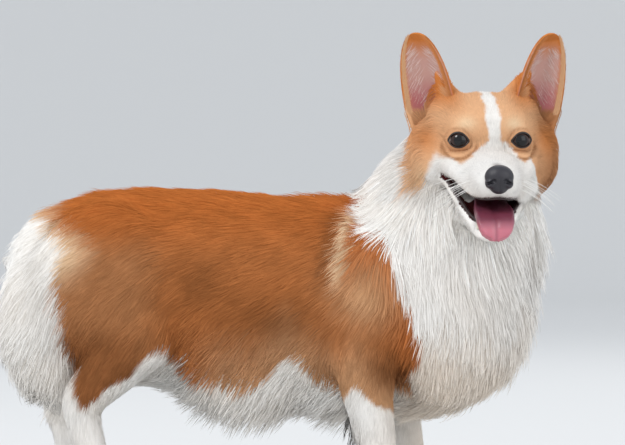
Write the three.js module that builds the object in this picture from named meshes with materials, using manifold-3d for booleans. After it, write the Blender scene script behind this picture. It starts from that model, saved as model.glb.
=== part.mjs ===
// A Pembroke Welsh Corgi, life size, standing square with its head turned to its right and its mouth open.
// Millimetres. The body faces +X, its left side is +Y, and it stands on z = 0.
import * as THREE from "three";
import { mergeVertices } from "three/addons/utils/BufferGeometryUtils.js";
import Module from "manifold-3d";

const wasm = await Module();
wasm.setup();

// Driving dimensions
const backHeight = 290;
const barrelHalfWidth = 92;
const brisketHeight = 96;
const eyeSpacing = 52;
const eyeRadius = 10.5;
const earLength = 70;
const earHalfWidth = 22.5;
const footLift = 12;

// Touching nodes stand this far apart
const gap = 0.4;

// Where the point midway between the eyes is, and how the head is turned and tipped
const eyesAt = new THREE.Vector3(172, -86, 336);
const headTurn = THREE.MathUtils.degToRad(-77);
const headTip = THREE.MathUtils.degToRad(4);

// Solids

// A closed geometry as a manifold solid with its faces pointing out
function solid(geometry) {
  const bare = geometry.clone();
  bare.deleteAttribute("normal");
  bare.deleteAttribute("uv");
  const merged = mergeVertices(bare, 1e-4);
  const vertProperties = new Float32Array(merged.attributes.position.array);
  const triVerts = new Uint32Array(merged.index.array);
  const made = new wasm.Manifold(new wasm.Mesh({ numProp: 3, vertProperties, triVerts }));
  if (made.volume() > 0) return made;
  for (let i = 0; i < triVerts.length; i += 3) {
    [triVerts[i + 1], triVerts[i + 2]] = [triVerts[i + 2], triVerts[i + 1]];
  }
  return new wasm.Manifold(new wasm.Mesh({ numProp: 3, vertProperties, triVerts }));
}

function geometryOf(made) {
  const mesh = made.getMesh();
  const positions = new Float32Array(mesh.numVert * 3);
  for (let i = 0; i < mesh.numVert; i++) {
    positions.set(mesh.vertProperties.subarray(i * mesh.numProp, i * mesh.numProp + 3), i * 3);
  }
  const geometry = new THREE.BufferGeometry();
  geometry.setAttribute("position", new THREE.BufferAttribute(positions, 3));
  geometry.setIndex(new THREE.BufferAttribute(new Uint32Array(mesh.triVerts), 1));
  return geometry;
}

const union = (solids) => wasm.Manifold.union(solids);

// The largest closed surface of a solid, which fills sealed hollows and drops loose scraps
function largest(made) {
  const bodies = made.decompose().sort((a, b) => b.volume() - a.volume());
  return bodies[0];
}

// Forms. Each is a function of how far its surface is grown, so that a neighbour can be cut clear of it

function ball(at, radii, turn = [0, 0, 0], detail = [14, 10]) {
  return (grow = 0) => {
    const [across, down] = detail;
    const shape = new THREE.SphereGeometry(1, across, down);
    shape.rotateX(Math.PI / 2);
    shape.scale(...radii.map((r) => r + grow));
    const turned = new THREE.Euler(...turn.map(THREE.MathUtils.degToRad), "ZYX");
    shape.applyMatrix4(new THREE.Matrix4().makeRotationFromEuler(turned));
    shape.translate(...at);
    return solid(shape);
  };
}

// A round-ended limb through stations of { at, half: [across, above, below] }. Across lies along `side`
function limb(stations, settings = {}) {
  const { sides = 12, steps = 1, side = [0, 1, 0], ends = [8, 8], power = 2, cap = [0.5, 0.87] } = settings;
  return (grow = 0) => {
    const path = new THREE.CatmullRomCurve3(stations.map((s) => new THREE.Vector3(...s.at)));
    const girth = new THREE.CatmullRomCurve3(stations.map((s) => new THREE.Vector3(...s.half)));
    const rings = [];
    const count = (stations.length - 1) * steps;
    for (let i = 0; i <= count; i++) {
      const t = i / count;
      rings.push({ centre: path.getPoint(t), tangent: path.getTangent(t), half: girth.getPoint(t) });
    }
    const dome = (ring, reach, sign) => {
      const made = [];
      for (const part of cap) {
        const centre = ring.centre.clone().addScaledVector(ring.tangent, sign * part * (reach + grow));
        const shrink = Math.sqrt(1 - part * part);
        made.push({ centre, tangent: ring.tangent, half: ring.half.clone(), shrink });
      }
      return made;
    };
    const first = rings[0];
    const last = rings[count];
    const all = [...dome(first, ends[0], -1).reverse(), ...rings, ...dome(last, ends[1], 1)];
    const poles = [
      first.centre.clone().addScaledVector(first.tangent, -(ends[0] + grow)),
      last.centre.clone().addScaledVector(last.tangent, ends[1] + grow),
    ];
    const points = [];
    for (const { centre, tangent, half, shrink = 1 } of all) {
      const across = new THREE.Vector3(...side);
      across.addScaledVector(tangent, -across.dot(tangent)).normalize();
      const above = tangent.clone().cross(across);
      for (let j = 0; j < sides; j++) {
        const angle = (2 * Math.PI * j) / sides;
        const round = (v) => Math.sign(v) * Math.abs(v) ** (2 / power);
        const c = round(Math.cos(angle)) * (half.x + grow) * shrink;
        const rise = round(Math.sin(angle));
        const s = rise * ((rise > 0 ? half.y : half.z) + grow) * shrink;
        points.push(centre.clone().addScaledVector(across, c).addScaledVector(above, s));
      }
    }
    const index = [];
    for (let i = 0; i + 1 < all.length; i++) {
      for (let j = 0; j < sides; j++) {
        const a = i * sides + j;
        const b = i * sides + ((j + 1) % sides);
        index.push(a, b, a + sides, b, b + sides, a + sides);
      }
    }
    const start = points.length;
    const end = (all.length - 1) * sides;
    points.push(...poles);
    for (let j = 0; j < sides; j++) {
      const k = (j + 1) % sides;
      index.push(start, k, j, start + 1, end + j, end + k);
    }
    const shape = new THREE.BufferGeometry().setFromPoints(points);
    shape.setIndex(index);
    return solid(shape);
  };
}

// A flat tapered lock along a path of { at, out }: two faces, sharp edges, a blunt root and a pointed tip
function lock(path, width, thickness, grow = 0) {
  const points = [];
  const index = [];
  const last = path.length - 1;
  path.slice(0, last).forEach(({ at, out }, i) => {
    const along = path[i + 1].at.clone().sub(path[Math.max(0, i - 1)].at).normalize();
    const across = along.clone().cross(out).normalize();
    const flat = (width / 2) * [0.8, 1, 0.92, 0.62][Math.min(3, i)];
    const deep = (thickness / 2) * (1 - 0.45 * (i / last));
    const edge = Math.hypot(flat, deep);
    const half = flat + (grow * edge) / deep;
    const thick = deep + (grow * edge) / flat;
    points.push(
      at.clone().addScaledVector(across, half),
      at.clone().addScaledVector(out, thick),
      at.clone().addScaledVector(across, -half),
      at.clone().addScaledVector(out, -thick),
    );
  });
  const point = path[last].at.clone().sub(path[last - 1].at).setLength(6 * grow);
  points.push(path[last].at.clone().add(point));
  for (let i = 0; i + 1 < last; i++) {
    for (let j = 0; j < 4; j++) {
      const a = 4 * i + j;
      const b = 4 * i + ((j + 1) % 4);
      index.push(a, b, a + 4, b, b + 4, a + 4);
    }
  }
  for (let j = 0; j < 4; j++) {
    index.push(4 * (last - 1) + j, 4 * (last - 1) + ((j + 1) % 4), 4 * last);
  }
  index.push(0, 2, 1, 0, 3, 2);
  const shape = new THREE.BufferGeometry().setFromPoints(points);
  shape.setIndex(index);
  return solid(shape);
}

// Where a ray from inside leaves a body for the last time, with the body's outward normal there
function surfaceFinder(body) {
  const mesh = new THREE.Mesh(geometryOf(body), new THREE.MeshBasicMaterial({ side: THREE.DoubleSide }));
  const caster = new THREE.Raycaster();
  return (from, toward) => {
    const ray = toward.clone().sub(from).normalize();
    caster.set(from, ray);
    const hit = caster.intersectObject(mesh).pop();
    const out = hit.face.normal.clone();
    if (out.dot(ray) < 0) out.negate();
    return { at: hit.point, out: out.lerp(ray, 0.35).normalize() };
  };
}

// Locks rooted over a body, each following the surface along the lie of the coat and rising towards its tip
function locksOver(body, { roots, axisFor, lie, length, width, thickness, lift, seed }) {
  const find = surfaceFinder(body);
  const roll = dice(seed);
  const vary = (amount) => 1 + amount * (2 * roll() - 1);
  return roots(find, roll).map((root) => {
    const heading = lie(root);
    const swing = THREE.MathUtils.degToRad(9 * (2 * roll() - 1));
    const step = (length(root) * vary(0.14)) / (lift.length - 1);
    const high = vary(0.12);
    const path = [];
    let here = root;
    for (const rise of lift) {
      const raised = rise < 0 ? rise : rise * high;
      path.push({ at: here.at.clone().addScaledVector(here.out, raised), out: here.out });
      const ahead = heading.clone().addScaledVector(here.out, -heading.dot(here.out)).normalize();
      ahead.applyAxisAngle(here.out, swing);
      const next = here.at.clone().addScaledVector(ahead, step);
      here = find(axisFor(next), next);
    }
    const broad = width * vary(0.12);
    return (grow = 0) => lock(path, broad, thickness, grow);
  });
}

const both = (...forms) => (grow = 0) => union(forms.map((form) => form(grow)));

// The same form on the other side of the body
const mirrored = (form) => (grow = 0) => form(grow).mirror([0, 1, 0]);

// Seeded random numbers from 0 to 1
function dice(seed) {
  let state = seed;
  return () => {
    state = (state + 0x6d2b79f5) | 0;
    let t = Math.imul(state ^ (state >>> 15), 1 | state);
    t = (t + Math.imul(t ^ (t >>> 7), 61 | t)) ^ t;
    return ((t ^ (t >>> 14)) >>> 0) / 4294967296;
  };
}

// Head, in its own frame: origin midway between the eyes, X forward, Y to its left, Z up

const headFrame = new THREE.Group();
headFrame.position.copy(eyesAt);
headFrame.rotation.set(0, headTip, headTurn, "ZYX");
headFrame.updateMatrixWorld(true);
const inBody = (form) => (grow = 0) => form(grow).transform(headFrame.matrixWorld.elements);

const skull = both(
  ball([-50, 0, 4], [54, 53, 39], [0, 0, 0], [16, 10]),
  ball([-24, 0, 12], [31, 41, 27], [0, 0, 0], [12, 8]),
  ball([-46, 35, -20], [41, 32, 33], [0, 0, 12], [12, 8]),
  ball([-46, -35, -20], [41, 32, 33], [0, 0, -12], [12, 8]),
  ball([-54, 50, 14], [22, 19, 32], [12, 0, 0], [9, 6]),
  ball([-54, -50, 14], [22, 19, 32], [-12, 0, 0], [9, 6]),
  ball([-10, 27, -20], [22, 15, 15], [0, 0, 0], [8, 5]),
  ball([-10, -27, -20], [22, 15, 15], [0, 0, 0], [8, 5]),
);

const muzzle = limb(
  [
    { at: [-18, 0, -24], half: [35, 21, 20] },
    { at: [6, 0, -25], half: [30, 19.5, 18] },
    { at: [30, 0, -29], half: [26, 16, 17] },
    { at: [50, 0, -32], half: [24, 14.5, 17] },
    { at: [60, 0, -33], half: [20, 12.5, 15.5] },
  ],
  { sides: 14, ends: [12, 8], power: 2.3 },
);

// The space between the open jaws, which both of them are cut back to
const mouth = limb(
  [
    { at: [-18, 0, -28], half: [46, 1.5, 1.5] },
    { at: [-5, 0, -34], half: [46, 4, 4.5] },
    { at: [10, 0, -43.5], half: [44, 7, 8] },
    { at: [25, 0, -52], half: [40, 8.5, 10] },
    { at: [45, 0, -61], half: [38, 10, 11] },
    { at: [78, 0, -70], half: [38, 15, 14] },
  ],
  { sides: 10, ends: [2, 4], power: 4, cap: [] },
);

// The upper lip hangs as a flew on each side
const flews = both(
  ball([40, 16, -41.5], [25, 10.5, 9.5], [0, 6, -8], [9, 6]),
  ball([40, -16, -41.5], [25, 10.5, 9.5], [0, 6, 8], [9, 6]),
);

const lipLine = (side) =>
  limb(
    [
      { at: [-15, 41 * side, -25.5], half: [1.8, 1.8, 1.8] },
      { at: [5, 33 * side, -34.5], half: [2.2, 2.2, 2.2] },
      { at: [26, 25 * side, -43.5], half: [2.2, 2.2, 2.2] },
      { at: [46, 17 * side, -50], half: [2.2, 2.2, 2.2] },
      { at: [63, 5 * side, -49], half: [1.8, 1.8, 1.8] },
    ],
    { sides: 6, side: [0, 0, 1], ends: [2, 2], cap: [] },
  );

// The fluff of the left cheek hangs over that corner of the mouth
const cheekFluff = ball([4, 35, -37], [26, 9, 13], [0, 12, -16], [9, 6]);

const eyeAt = (side) => [-8.5, (eyeSpacing / 2) * side, 0];
const eyeball = (side) => ball(eyeAt(side), [eyeRadius, eyeRadius, eyeRadius], [0, 0, 0], [11, 8]);
const lidMass = (side) => ball(eyeAt(side), [13, 13.6, 11.6], [0, 0, 0], [10, 7]);

// What the open lids leave clear, an almond seen along the eye's own outward gaze
function lidOpening(side) {
  const almond = new THREE.Shape();
  almond.moveTo(-9, -1.4);
  almond.bezierCurveTo(-6, 8.4, 5, 9.4, 9.2, 0.8);
  almond.bezierCurveTo(5, -8.6, -5, -8.8, -9, -1.4);
  const prism = new THREE.ExtrudeGeometry(almond, { depth: 14, bevelEnabled: false, curveSegments: 4 });
  prism.rotateY(Math.PI / 2);
  prism.rotateX(Math.PI / 2);
  if (side > 0) prism.scale(1, -1, 1);
  prism.rotateZ(THREE.MathUtils.degToRad(14 * side));
  prism.translate(...eyeAt(side));
  return solid(prism);
}

const nose = (() => {
  const pad = both(
    ball([66, 0, -28], [9.5, 12.8, 10.6], [0, 0, 0], [12, 9]),
    ball([64.5, 0, -33.5], [9, 9.6, 9.5], [0, 0, 0], [10, 7]),
  );
  const nostrils = (grow) =>
    both(
      ball([76, 5.6, -31], [4.4, 2.9, 2.9], [0, 0, 0], [8, 5]),
      ball([76, -5.6, -31], [4.4, 2.9, 2.9], [0, 0, 0], [8, 5]),
      ball([72, 10, -33], [5, 4.4, 1.5], [35, 0, 0], [8, 5]),
      ball([72, -10, -33], [5, 4.4, 1.5], [-35, 0, 0], [8, 5]),
    )(-grow);
  return (grow = 0) => (grow > 0 ? pad(grow) : pad().subtract(nostrils(0)));
})();

const jaw = limb(
  [
    { at: [-44, 0, -50], half: [35, 17, 17] },
    { at: [-16, 0, -56], half: [36, 20, 17] },
    { at: [4, -1, -62], half: [31, 17, 15] },
    { at: [22, -2, -70], half: [23.5, 11, 12] },
    { at: [38, -3, -76.5], half: [17.5, 8, 10] },
    { at: [47, -3, -79], half: [13.5, 6.5, 8.5] },
  ],
  { sides: 14, ends: [10, 6], power: 2.2 },
);

const lowerLip = (side) =>
  limb(
    [
      { at: [-12, 38 * side, -31.5], half: [1.8, 1.8, 1.8] },
      { at: [2, 31.5 * side - 1, -46], half: [2, 2, 2] },
      { at: [20, 23 * side - 2, -60], half: [2, 2, 2] },
      { at: [36, 16 * side - 3, -69.5], half: [2, 2, 2] },
      { at: [49, 6 * side - 3, -74], half: [1.6, 1.6, 1.6] },
    ],
    { sides: 6, side: [0, 0, 1], ends: [2, 2], cap: [] },
  );

// A pointed tooth standing in the lower jaw
function tooth(at, radius, height, lean) {
  return (grow = 0) => {
    const crown = new THREE.ConeGeometry(radius + grow, height + 2 * grow, 5);
    crown.translate(0, height / 2, 0);
    crown.rotateX(Math.PI / 2);
    crown.rotateX(THREE.MathUtils.degToRad(lean));
    crown.translate(...at);
    return solid(crown);
  };
}

// One canine and a row of cheek teeth on each side, smaller towards the front gap
const lowerTeeth = (() => {
  const teeth = [];
  for (const side of [-1, 1]) {
    teeth.push(tooth([41, 12 * side - 3, -73], 2.4, 11, -8 * side));
    for (let i = 0; i < 4; i++) {
      const along = i / 3;
      const at = [31 - 25 * along, (16 + 9 * along) * side - 3 + along, -69 + 15 * along];
      teeth.push(tooth(at, 2.2 + 1.2 * along, 6 + 2.5 * along, -6 * side));
    }
    for (let i = 0; i < 2; i++) {
      teeth.push(tooth([48.5 - 0.8 * i, (2 + 4 * i) * side - 3, -75], 1.8, 6, 0));
    }
  }
  return both(...teeth);
})();

const tongue = limb(
  [
    { at: [-4, -1, -50], half: [12, 4, 4] },
    { at: [22, -1, -59], half: [14.5, 4, 3.5] },
    { at: [42, -1.5, -63], half: [15.5, 4, 3.2] },
    { at: [56, -2, -66.5], half: [16, 3.6, 3] },
    { at: [61.5, -2, -73.5], half: [15.6, 3.2, 2.8] },
    { at: [62.5, -2, -79], half: [13, 2.8, 2.4] },
  ],
  { sides: 12, ends: [6, 4], power: 2.4 },
);

// An ear is a leaf rolled into a cup, thick at the root and thin at the rim
function ear(side) {
  const rows = 7;
  const columns = 6;
  const opening = THREE.MathUtils.degToRad(20);
  const outlook = new THREE.Vector3(Math.cos(opening), side * Math.sin(opening), 0);
  const across = new THREE.Vector3(-side * Math.sin(opening), Math.cos(opening), 0);
  const root = new THREE.Vector3(-54, 45 * side, 24);
  const tip = new THREE.Vector3(-60, 58.5 * side, 24 + earLength);
  const leaf = (s, t) => {
    const half = earHalfWidth * Math.sqrt(Math.max(0, 1 - s ** 2.3)) + 1.5;
    const cup = 17 * (1 - s) ** 0.9 + 3;
    return root
      .clone()
      .lerp(tip, s)
      .addScaledVector(across, half * t)
      .addScaledVector(outlook, -cup * (1 - t * t) + 6);
  };
  return (grow = 0) => {
    const points = [];
    for (const face of [1, -1]) {
      for (let i = 0; i <= rows; i++) {
        for (let j = 0; j <= columns; j++) {
          const s = i / rows;
          const t = (2 * j) / columns - 1;
          const down = leaf(Math.max(0, s - 0.02), t);
          const up = leaf(Math.min(1, s + 0.02), t);
          const left = leaf(s, Math.min(1, t + 0.02));
          const right = leaf(s, Math.max(-1, t - 0.02));
          const normal = left.sub(right).cross(up.sub(down)).normalize();
          const edge = Math.max(Math.abs(t) ** 4, s ** 6);
          const thick = (2.6 - 1.5 * s * s) * (1 - 0.55 * edge) + grow;
          points.push(leaf(s, t * (1 + grow / 20)).addScaledVector(normal, face * thick));
        }
      }
    }
    const back = (rows + 1) * (columns + 1);
    const at = (i, j) => i * (columns + 1) + j;
    const index = [];
    const quad = (a, b, c, d) => index.push(a, b, c, a, c, d);
    for (let i = 0; i < rows; i++) {
      for (let j = 0; j < columns; j++) {
        quad(at(i, j), at(i, j + 1), at(i + 1, j + 1), at(i + 1, j));
        quad(back + at(i, j), back + at(i + 1, j), back + at(i + 1, j + 1), back + at(i, j + 1));
      }
      quad(at(i, 0), at(i + 1, 0), back + at(i + 1, 0), back + at(i, 0));
      quad(at(i, columns), back + at(i, columns), back + at(i + 1, columns), at(i + 1, columns));
    }
    for (let j = 0; j < columns; j++) {
      quad(at(0, j), back + at(0, j), back + at(0, j + 1), at(0, j + 1));
      quad(at(rows, j), at(rows, j + 1), back + at(rows, j + 1), back + at(rows, j));
    }
    const shape = new THREE.BufferGeometry().setFromPoints(points);
    shape.setIndex(index);
    return solid(shape);
  };
}

// Neck and forechest, the flesh under the ruff and the bib

const neckForm = both(
  limb(
    [
      { at: [101, 0, 196], half: [83, 86, 84] },
      { at: [117, 0, 244], half: [77, 84, 82] },
      { at: [132, -3, 284], half: [67, 74, 72] },
      { at: [143, -5, 316], half: [54, 60, 60] },
    ],
    { sides: 16, ends: [30, 16], power: 2 },
  ),
  ball([102, 0, 198], [91, 84, 100], [0, 0, 0], [16, 10]),
);

// Barrel and hindquarters

const torsoForm = limb(
  [
    { at: [-205, 0, 202], half: [80, 83, 88] },
    { at: [-150, 0, 204], half: [85, 90, 92] },
    { at: [-90, 0, 200], half: [87, 93, 94] },
    { at: [-30, 0, 194], half: [90, 95, 97] },
    { at: [30, 0, 191], half: [barrelHalfWidth, backHeight - 192, 191 - brisketHeight] },
    { at: [85, 0, 190], half: [84, 90, 90] },
    { at: [118, 0, 192], half: [66, 70, 76] },
  ],
  { sides: 18, ends: [30, 20], power: 2.25 },
);

const rumpForm = both(
  limb(
    [
      { at: [-262, 0, 200], half: [40, 42, 52] },
      { at: [-235, 0, 204], half: [58, 62, 68] },
      { at: [-196, 0, 206], half: [70, 74, 78] },
    ],
    { sides: 16, ends: [18, 10], power: 2.1 },
  ),
  ball([-232, 38, 184], [44, 38, 72], [0, 8, 0], [12, 9]),
  ball([-232, -38, 184], [44, 38, 72], [0, 8, 0], [12, 9]),
);

const tailForm = limb(
  [
    { at: [-256, 0, 242], half: [15, 12, 12] },
    { at: [-278, 0, 236], half: [13, 11, 11] },
    { at: [-290, 0, 226], half: [10, 9, 9] },
  ],
  { sides: 10, ends: [6, 8] },
);

// Legs. Right ones are built, and left ones are mirrored and set where that foot stands

const shoulder = both(
  ball([66, -66, 190], [50, 32, 76], [0, 14, 0], [12, 9]),
  ball([62, -72, 156], [33, 26, 38], [0, -8, 0], [10, 7]),
);

const forearm = limb(
  [
    { at: [58, -75, 146], half: [24, 28, 28] },
    { at: [65, -75, 112], half: [21, 24, 24] },
    { at: [71, -74, 80], half: [18, 19, 19] },
    { at: [75, -73, 50], half: [16.5, 17.5, 17.5] },
  ],
  { sides: 10, ends: [8, 5] },
);

const thigh = both(
  ball([-172, -56, 204], [70, 43, 84], [0, -14, 0], [14, 10]),
  ball([-146, -66, 170], [36, 30, 40], [0, 20, 0], [10, 7]),
);

const shank = limb(
  [
    { at: [-148, -70, 162], half: [26, 34, 34] },
    { at: [-175, -70, 132], half: [21, 27, 27] },
    { at: [-199, -70, 104], half: [14, 18, 18] },
  ],
  { sides: 10, ends: [10, 10] },
);

const cannon = limb(
  [
    { at: [-199, -70, 96], half: [13.5, 18, 15] },
    { at: [-190, -70, 64], half: [14, 17, 16.5] },
    { at: [-184, -70, 34], half: [15.5, 16.5, 16.5] },
  ],
  { sides: 10, ends: [10, 10] },
);

// A paw: pastern, palm, heel pad, four toes side by side and their claws, flat where it stands
function paw(at, size, pastern) {
  const [x, y] = at;
  const forms = [
    pastern,
    ball([x, y, 20], [24 * size, 20 * size, 15], [0, 10, 0], [8, 6]),
  ];
  const claws = [];
  for (const [i, step] of [-1.5, -0.5, 0.5, 1.5].entries()) {
    const middle = i === 1 || i === 2;
    const reach = (middle ? 25 : 17) * size;
    const lateral = step * 11.2 * size;
    const length = 14 * size;
    forms.push(ball([x + reach, y + lateral, footLift], [length, 8 * size, 12.8], [0, 14, step * 5], [7, 5]));
    const claw = new THREE.ConeGeometry(2.6, 13, 5);
    claw.rotateZ(-Math.PI / 2);
    claw.rotateY(THREE.MathUtils.degToRad(28));
    claw.rotateZ(THREE.MathUtils.degToRad(step * 5));
    claw.translate(x + reach + length + 1, y + lateral * 1.04, 9);
    claws.push(solid(claw));
  }
  const floor = new THREE.BoxGeometry(300, 300, 60);
  floor.translate(x, y, -30);
  const whole = both(...forms);
  return (grow = 0) => union([whole(grow), ...claws]).subtract(solid(floor));
}

const foreFoot = paw(
  [88, -74],
  1.05,
  limb(
    [
      { at: [76, -73, 42], half: [17, 18, 18] },
      { at: [82, -74, 24], half: [18, 19, 19] },
    ],
    { sides: 10, ends: [8, 8] },
  ),
);
const hindFoot = paw([-174, -70], 0.98, cannon);

const moved = (form, by) => (grow = 0) => form(grow).translate(by);

// The far feet stand a little further forward and back than the near ones
const leftForeShift = [3, 0, 0];
const leftHindShift = [-58, 0, 0];
const leftShoulder = mirrored(shoulder);
const leftForearm = moved(mirrored(forearm), leftForeShift);
const leftForeFoot = moved(mirrored(foreFoot), leftForeShift);
const leftThigh = mirrored(thigh);
const leftShank = limb(
  [
    { at: [-158, 68, 166], half: [26, 34, 34] },
    { at: [-206, 68, 134], half: [21, 28, 28] },
    { at: [-256, 68, 106], half: [14, 18, 17] },
  ],
  { sides: 10, ends: [10, 10] },
);
const leftHindFoot = moved(mirrored(hindFoot), leftHindShift);

// Cut every form clear of what it meets

function cutClear(made, ...neighbours) {
  return largest(neighbours.reduce((kept, form) => kept.subtract(form(gap)), made));
}

const headForm = (grow = 0) =>
  union([skull(grow), muzzle(grow), flews(grow)])
    .subtract(mouth(-grow))
    .add(lipLine(1)(grow))
    .add(lipLine(-1)(grow))
    .add(cheekFluff(grow));
const lids = [1, -1].map((side) => lidMass(side)());
const openLids = union([lidOpening(1), lidOpening(-1)]);

const headSolid = cutClear(
  union([headForm(), ...lids]).subtract(openLids),
  eyeball(1),
  eyeball(-1),
  nose,
);
const jawForm = (grow = 0) =>
  union([jaw(grow).subtract(mouth(-grow)), lowerLip(1)(grow), lowerLip(-1)(grow), lowerTeeth(grow)]);
const jawSolid = cutClear(jawForm(), headForm);

const nodes = new Map();
const part = (name, made, frame = null) => nodes.set(name, { made: largest(made), frame });

part("head", headSolid, headFrame);
part("lower_jaw", jawSolid, headFrame);
part("tongue", cutClear(tongue(), jawForm, headForm), headFrame);
part("nose", nose(), headFrame);
part("eye_left", eyeball(1)(), headFrame);
part("eye_right", eyeball(-1)(), headFrame);
part("ear_left", cutClear(ear(1)(), headForm), headFrame);
part("ear_right", cutClear(ear(-1)(), headForm), headFrame);

const headInBody = inBody(both(headForm, jawForm, tongue));
const earsInBody = inBody(both(ear(1), ear(-1)));

// What the long coat lies over
const fleshForm = both(
  torsoForm,
  neckForm,
  rumpForm,
  shoulder,
  leftShoulder,
  thigh,
  leftThigh,
);
const flesh = fleshForm();
const nearest = (line) => (point) => line.closestPointToPoint(point, true, new THREE.Vector3());
const clamp = THREE.MathUtils.clamp;

// Ruff and bib: rows of locks round the neck, from behind the ears down to the brisket
const neckAxis = new THREE.Line3(new THREE.Vector3(102, 0, 196), new THREE.Vector3(140, -4, 322));
const ruffRows = [
  { on: neckAxis.at(1, new THREE.Vector3()), tip: 36, to: 180, count: 5 },
  { on: neckAxis.at(1, new THREE.Vector3()), tip: -6, to: 180, count: 10 },
  { on: neckAxis.at(0.7, new THREE.Vector3()), tip: -4, to: 180, count: 11 },
  { on: neckAxis.at(0.38, new THREE.Vector3()), tip: -2, to: 138, count: 10 },
  { on: neckAxis.at(0.06, new THREE.Vector3()), tip: 0, to: 112, count: 9 },
  { on: neckAxis.start, tip: -22, to: 92, count: 7 },
  { on: neckAxis.start, tip: -45, to: 74, count: 5 },
];
const ruffLocks = locksOver(flesh, {
  seed: 11,
  axisFor: nearest(neckAxis),
  roots: (find, roll) => ruffRows.flatMap(({ on, tip, to, count }, row) =>
    Array.from({ length: count }, (_, i) => {
      const turn = (i + (row % 2 ? 0.5 : 0)) / count;
      const angle = THREE.MathUtils.degToRad((2 * turn - 1) * to + 5 * (roll() - 0.5));
      const slope = THREE.MathUtils.degToRad(tip + 5 * (roll() - 0.5));
      const ray = new THREE.Vector3(
        Math.cos(angle) * Math.cos(slope),
        Math.sin(angle) * Math.cos(slope),
        Math.sin(slope),
      );
      return find(on, on.clone().add(ray));
    })),
  lie: ({ at }) => {
    const round = Math.atan2(at.y, at.x - neckAxis.start.x);
    const back = clamp((Math.abs(round) - 1.4) / 1.2, 0, 1);
    const side = Math.abs(Math.sin(round)) * (1 - back);
    return new THREE.Vector3(0.3 * side - 1.3 * back, 0, -1).normalize();
  },
  length: ({ at }) => 32 + 26 * clamp((at.x - 50) / 60, 0, 1),
  width: 42,
  thickness: 7,
  lift: [-5, 9, 14, 17],
});

// Breeches: the deep fluff of the rump and the backs of the thighs
const rumpAxis = new THREE.Line3(new THREE.Vector3(-222, 0, 176), new THREE.Vector3(-205, 0, 212));
const breechesRows = [
  { height: 44, from: 122, count: 5 },
  { height: 12, from: 112, count: 6 },
  { height: -22, from: 116, count: 5 },
];
const breechLocks = locksOver(flesh, {
  seed: 23,
  axisFor: nearest(rumpAxis),
  roots: (find, roll) => breechesRows.flatMap(({ height, from, count }, row) =>
    Array.from({ length: count }, (_, i) => {
      const spread = 2 * (180 - from) * ((i + (row % 2 ? 0.75 : 0.25)) / count - 0.5);
      const angle = THREE.MathUtils.degToRad(180 + spread + 5 * (roll() - 0.5));
      const slope = THREE.MathUtils.degToRad(height + 4 * (roll() - 0.5));
      const ray = new THREE.Vector3(
        Math.cos(angle) * Math.cos(slope),
        Math.sin(angle) * Math.cos(slope),
        Math.sin(slope),
      );
      const on = rumpAxis.start;
      return find(on, on.clone().add(ray));
    })),
  lie: () => new THREE.Vector3(-0.42, 0, -1).normalize(),
  length: () => 56,
  width: 38,
  thickness: 7,
  lift: [-5, 6, 10, 13],
});

// Belly fringe: locks hanging along both sides of the brisket and belly
const fringeLocks = locksOver(flesh, {
  seed: 37,
  axisFor: nearest(new THREE.Line3(new THREE.Vector3(-150, 0, 188), new THREE.Vector3(120, 0, 188))),
  roots: (find, roll) => [-58, -20, 20, 58].flatMap((round, row) =>
    Array.from({ length: 5 }, (_, i) => {
      const x = (row % 3 ? 66 : 84) - 42 * i + 6 * (roll() - 0.5);
      const angle = THREE.MathUtils.degToRad(round + 4 * (roll() - 0.5));
      const on = new THREE.Vector3(x, 0, 188);
      return find(on, on.clone().add(new THREE.Vector3(0, Math.sin(angle), -Math.cos(angle))));
    })),
  lie: ({ at }) => new THREE.Vector3(-1, 0, at.z > 130 ? -1.4 : -0.4).normalize(),
  length: () => 56,
  width: 42,
  thickness: 7,
  lift: [-5, 10, 17, 21],
});

// A node's long coat: its locks, cut clear of every neighbour but rooted in its own flesh
function coated(core, locks, ...neighbours) {
  const trimmed = neighbours.reduce((kept, form) => kept.subtract(form(gap)), both(...locks)());
  return largest(core.add(trimmed));
}

const neckCore = cutClear(neckForm(), headInBody, earsInBody);
const rumpCore = cutClear(rumpForm(), tailForm);
const torsoCore = cutClear(torsoForm(), neckForm, rumpForm, tailForm);
const legs = both(forearm, leftForearm, shank, leftShank, hindFoot, leftHindFoot, tailForm);
const upperLegs = both(shoulder, leftShoulder, thigh, leftThigh);

const neckMade = coated(neckCore, ruffLocks, torsoForm, upperLegs, legs, headInBody, earsInBody);
const rumpMade = coated(rumpCore, breechLocks, torsoForm, upperLegs, legs, tailForm);
const otherLocks = both(...ruffLocks, ...breechLocks);
part("neck", neckMade);
part("rump", rumpMade);
part("tail", tailForm());
part("torso", coated(torsoCore, fringeLocks, neckForm, rumpForm, upperLegs, legs, otherLocks));
part("foreleg_right_shoulder", cutClear(shoulder(), neckForm, torsoForm));
part("foreleg_left_shoulder", cutClear(leftShoulder(), neckForm, torsoForm));
part("foreleg_right_forearm", cutClear(forearm(), shoulder, neckForm, torsoForm));
part("foreleg_left_forearm", cutClear(leftForearm(), leftShoulder, neckForm, torsoForm));
part("foreleg_right_paw", cutClear(foreFoot(), forearm));
part("foreleg_left_paw", cutClear(leftForeFoot(), leftForearm));
part("hindleg_right_thigh", cutClear(thigh(), rumpForm, torsoForm));
part("hindleg_left_thigh", cutClear(leftThigh(), rumpForm, torsoForm));
part("hindleg_right_shank", cutClear(shank(), thigh, rumpForm, torsoForm));
part("hindleg_left_shank", cutClear(leftShank(), leftThigh, rumpForm, torsoForm));
part("hindleg_right_paw", cutClear(hindFoot(), shank));
part("hindleg_left_paw", cutClear(leftHindFoot(), leftShank));

// Scene graph

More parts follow.
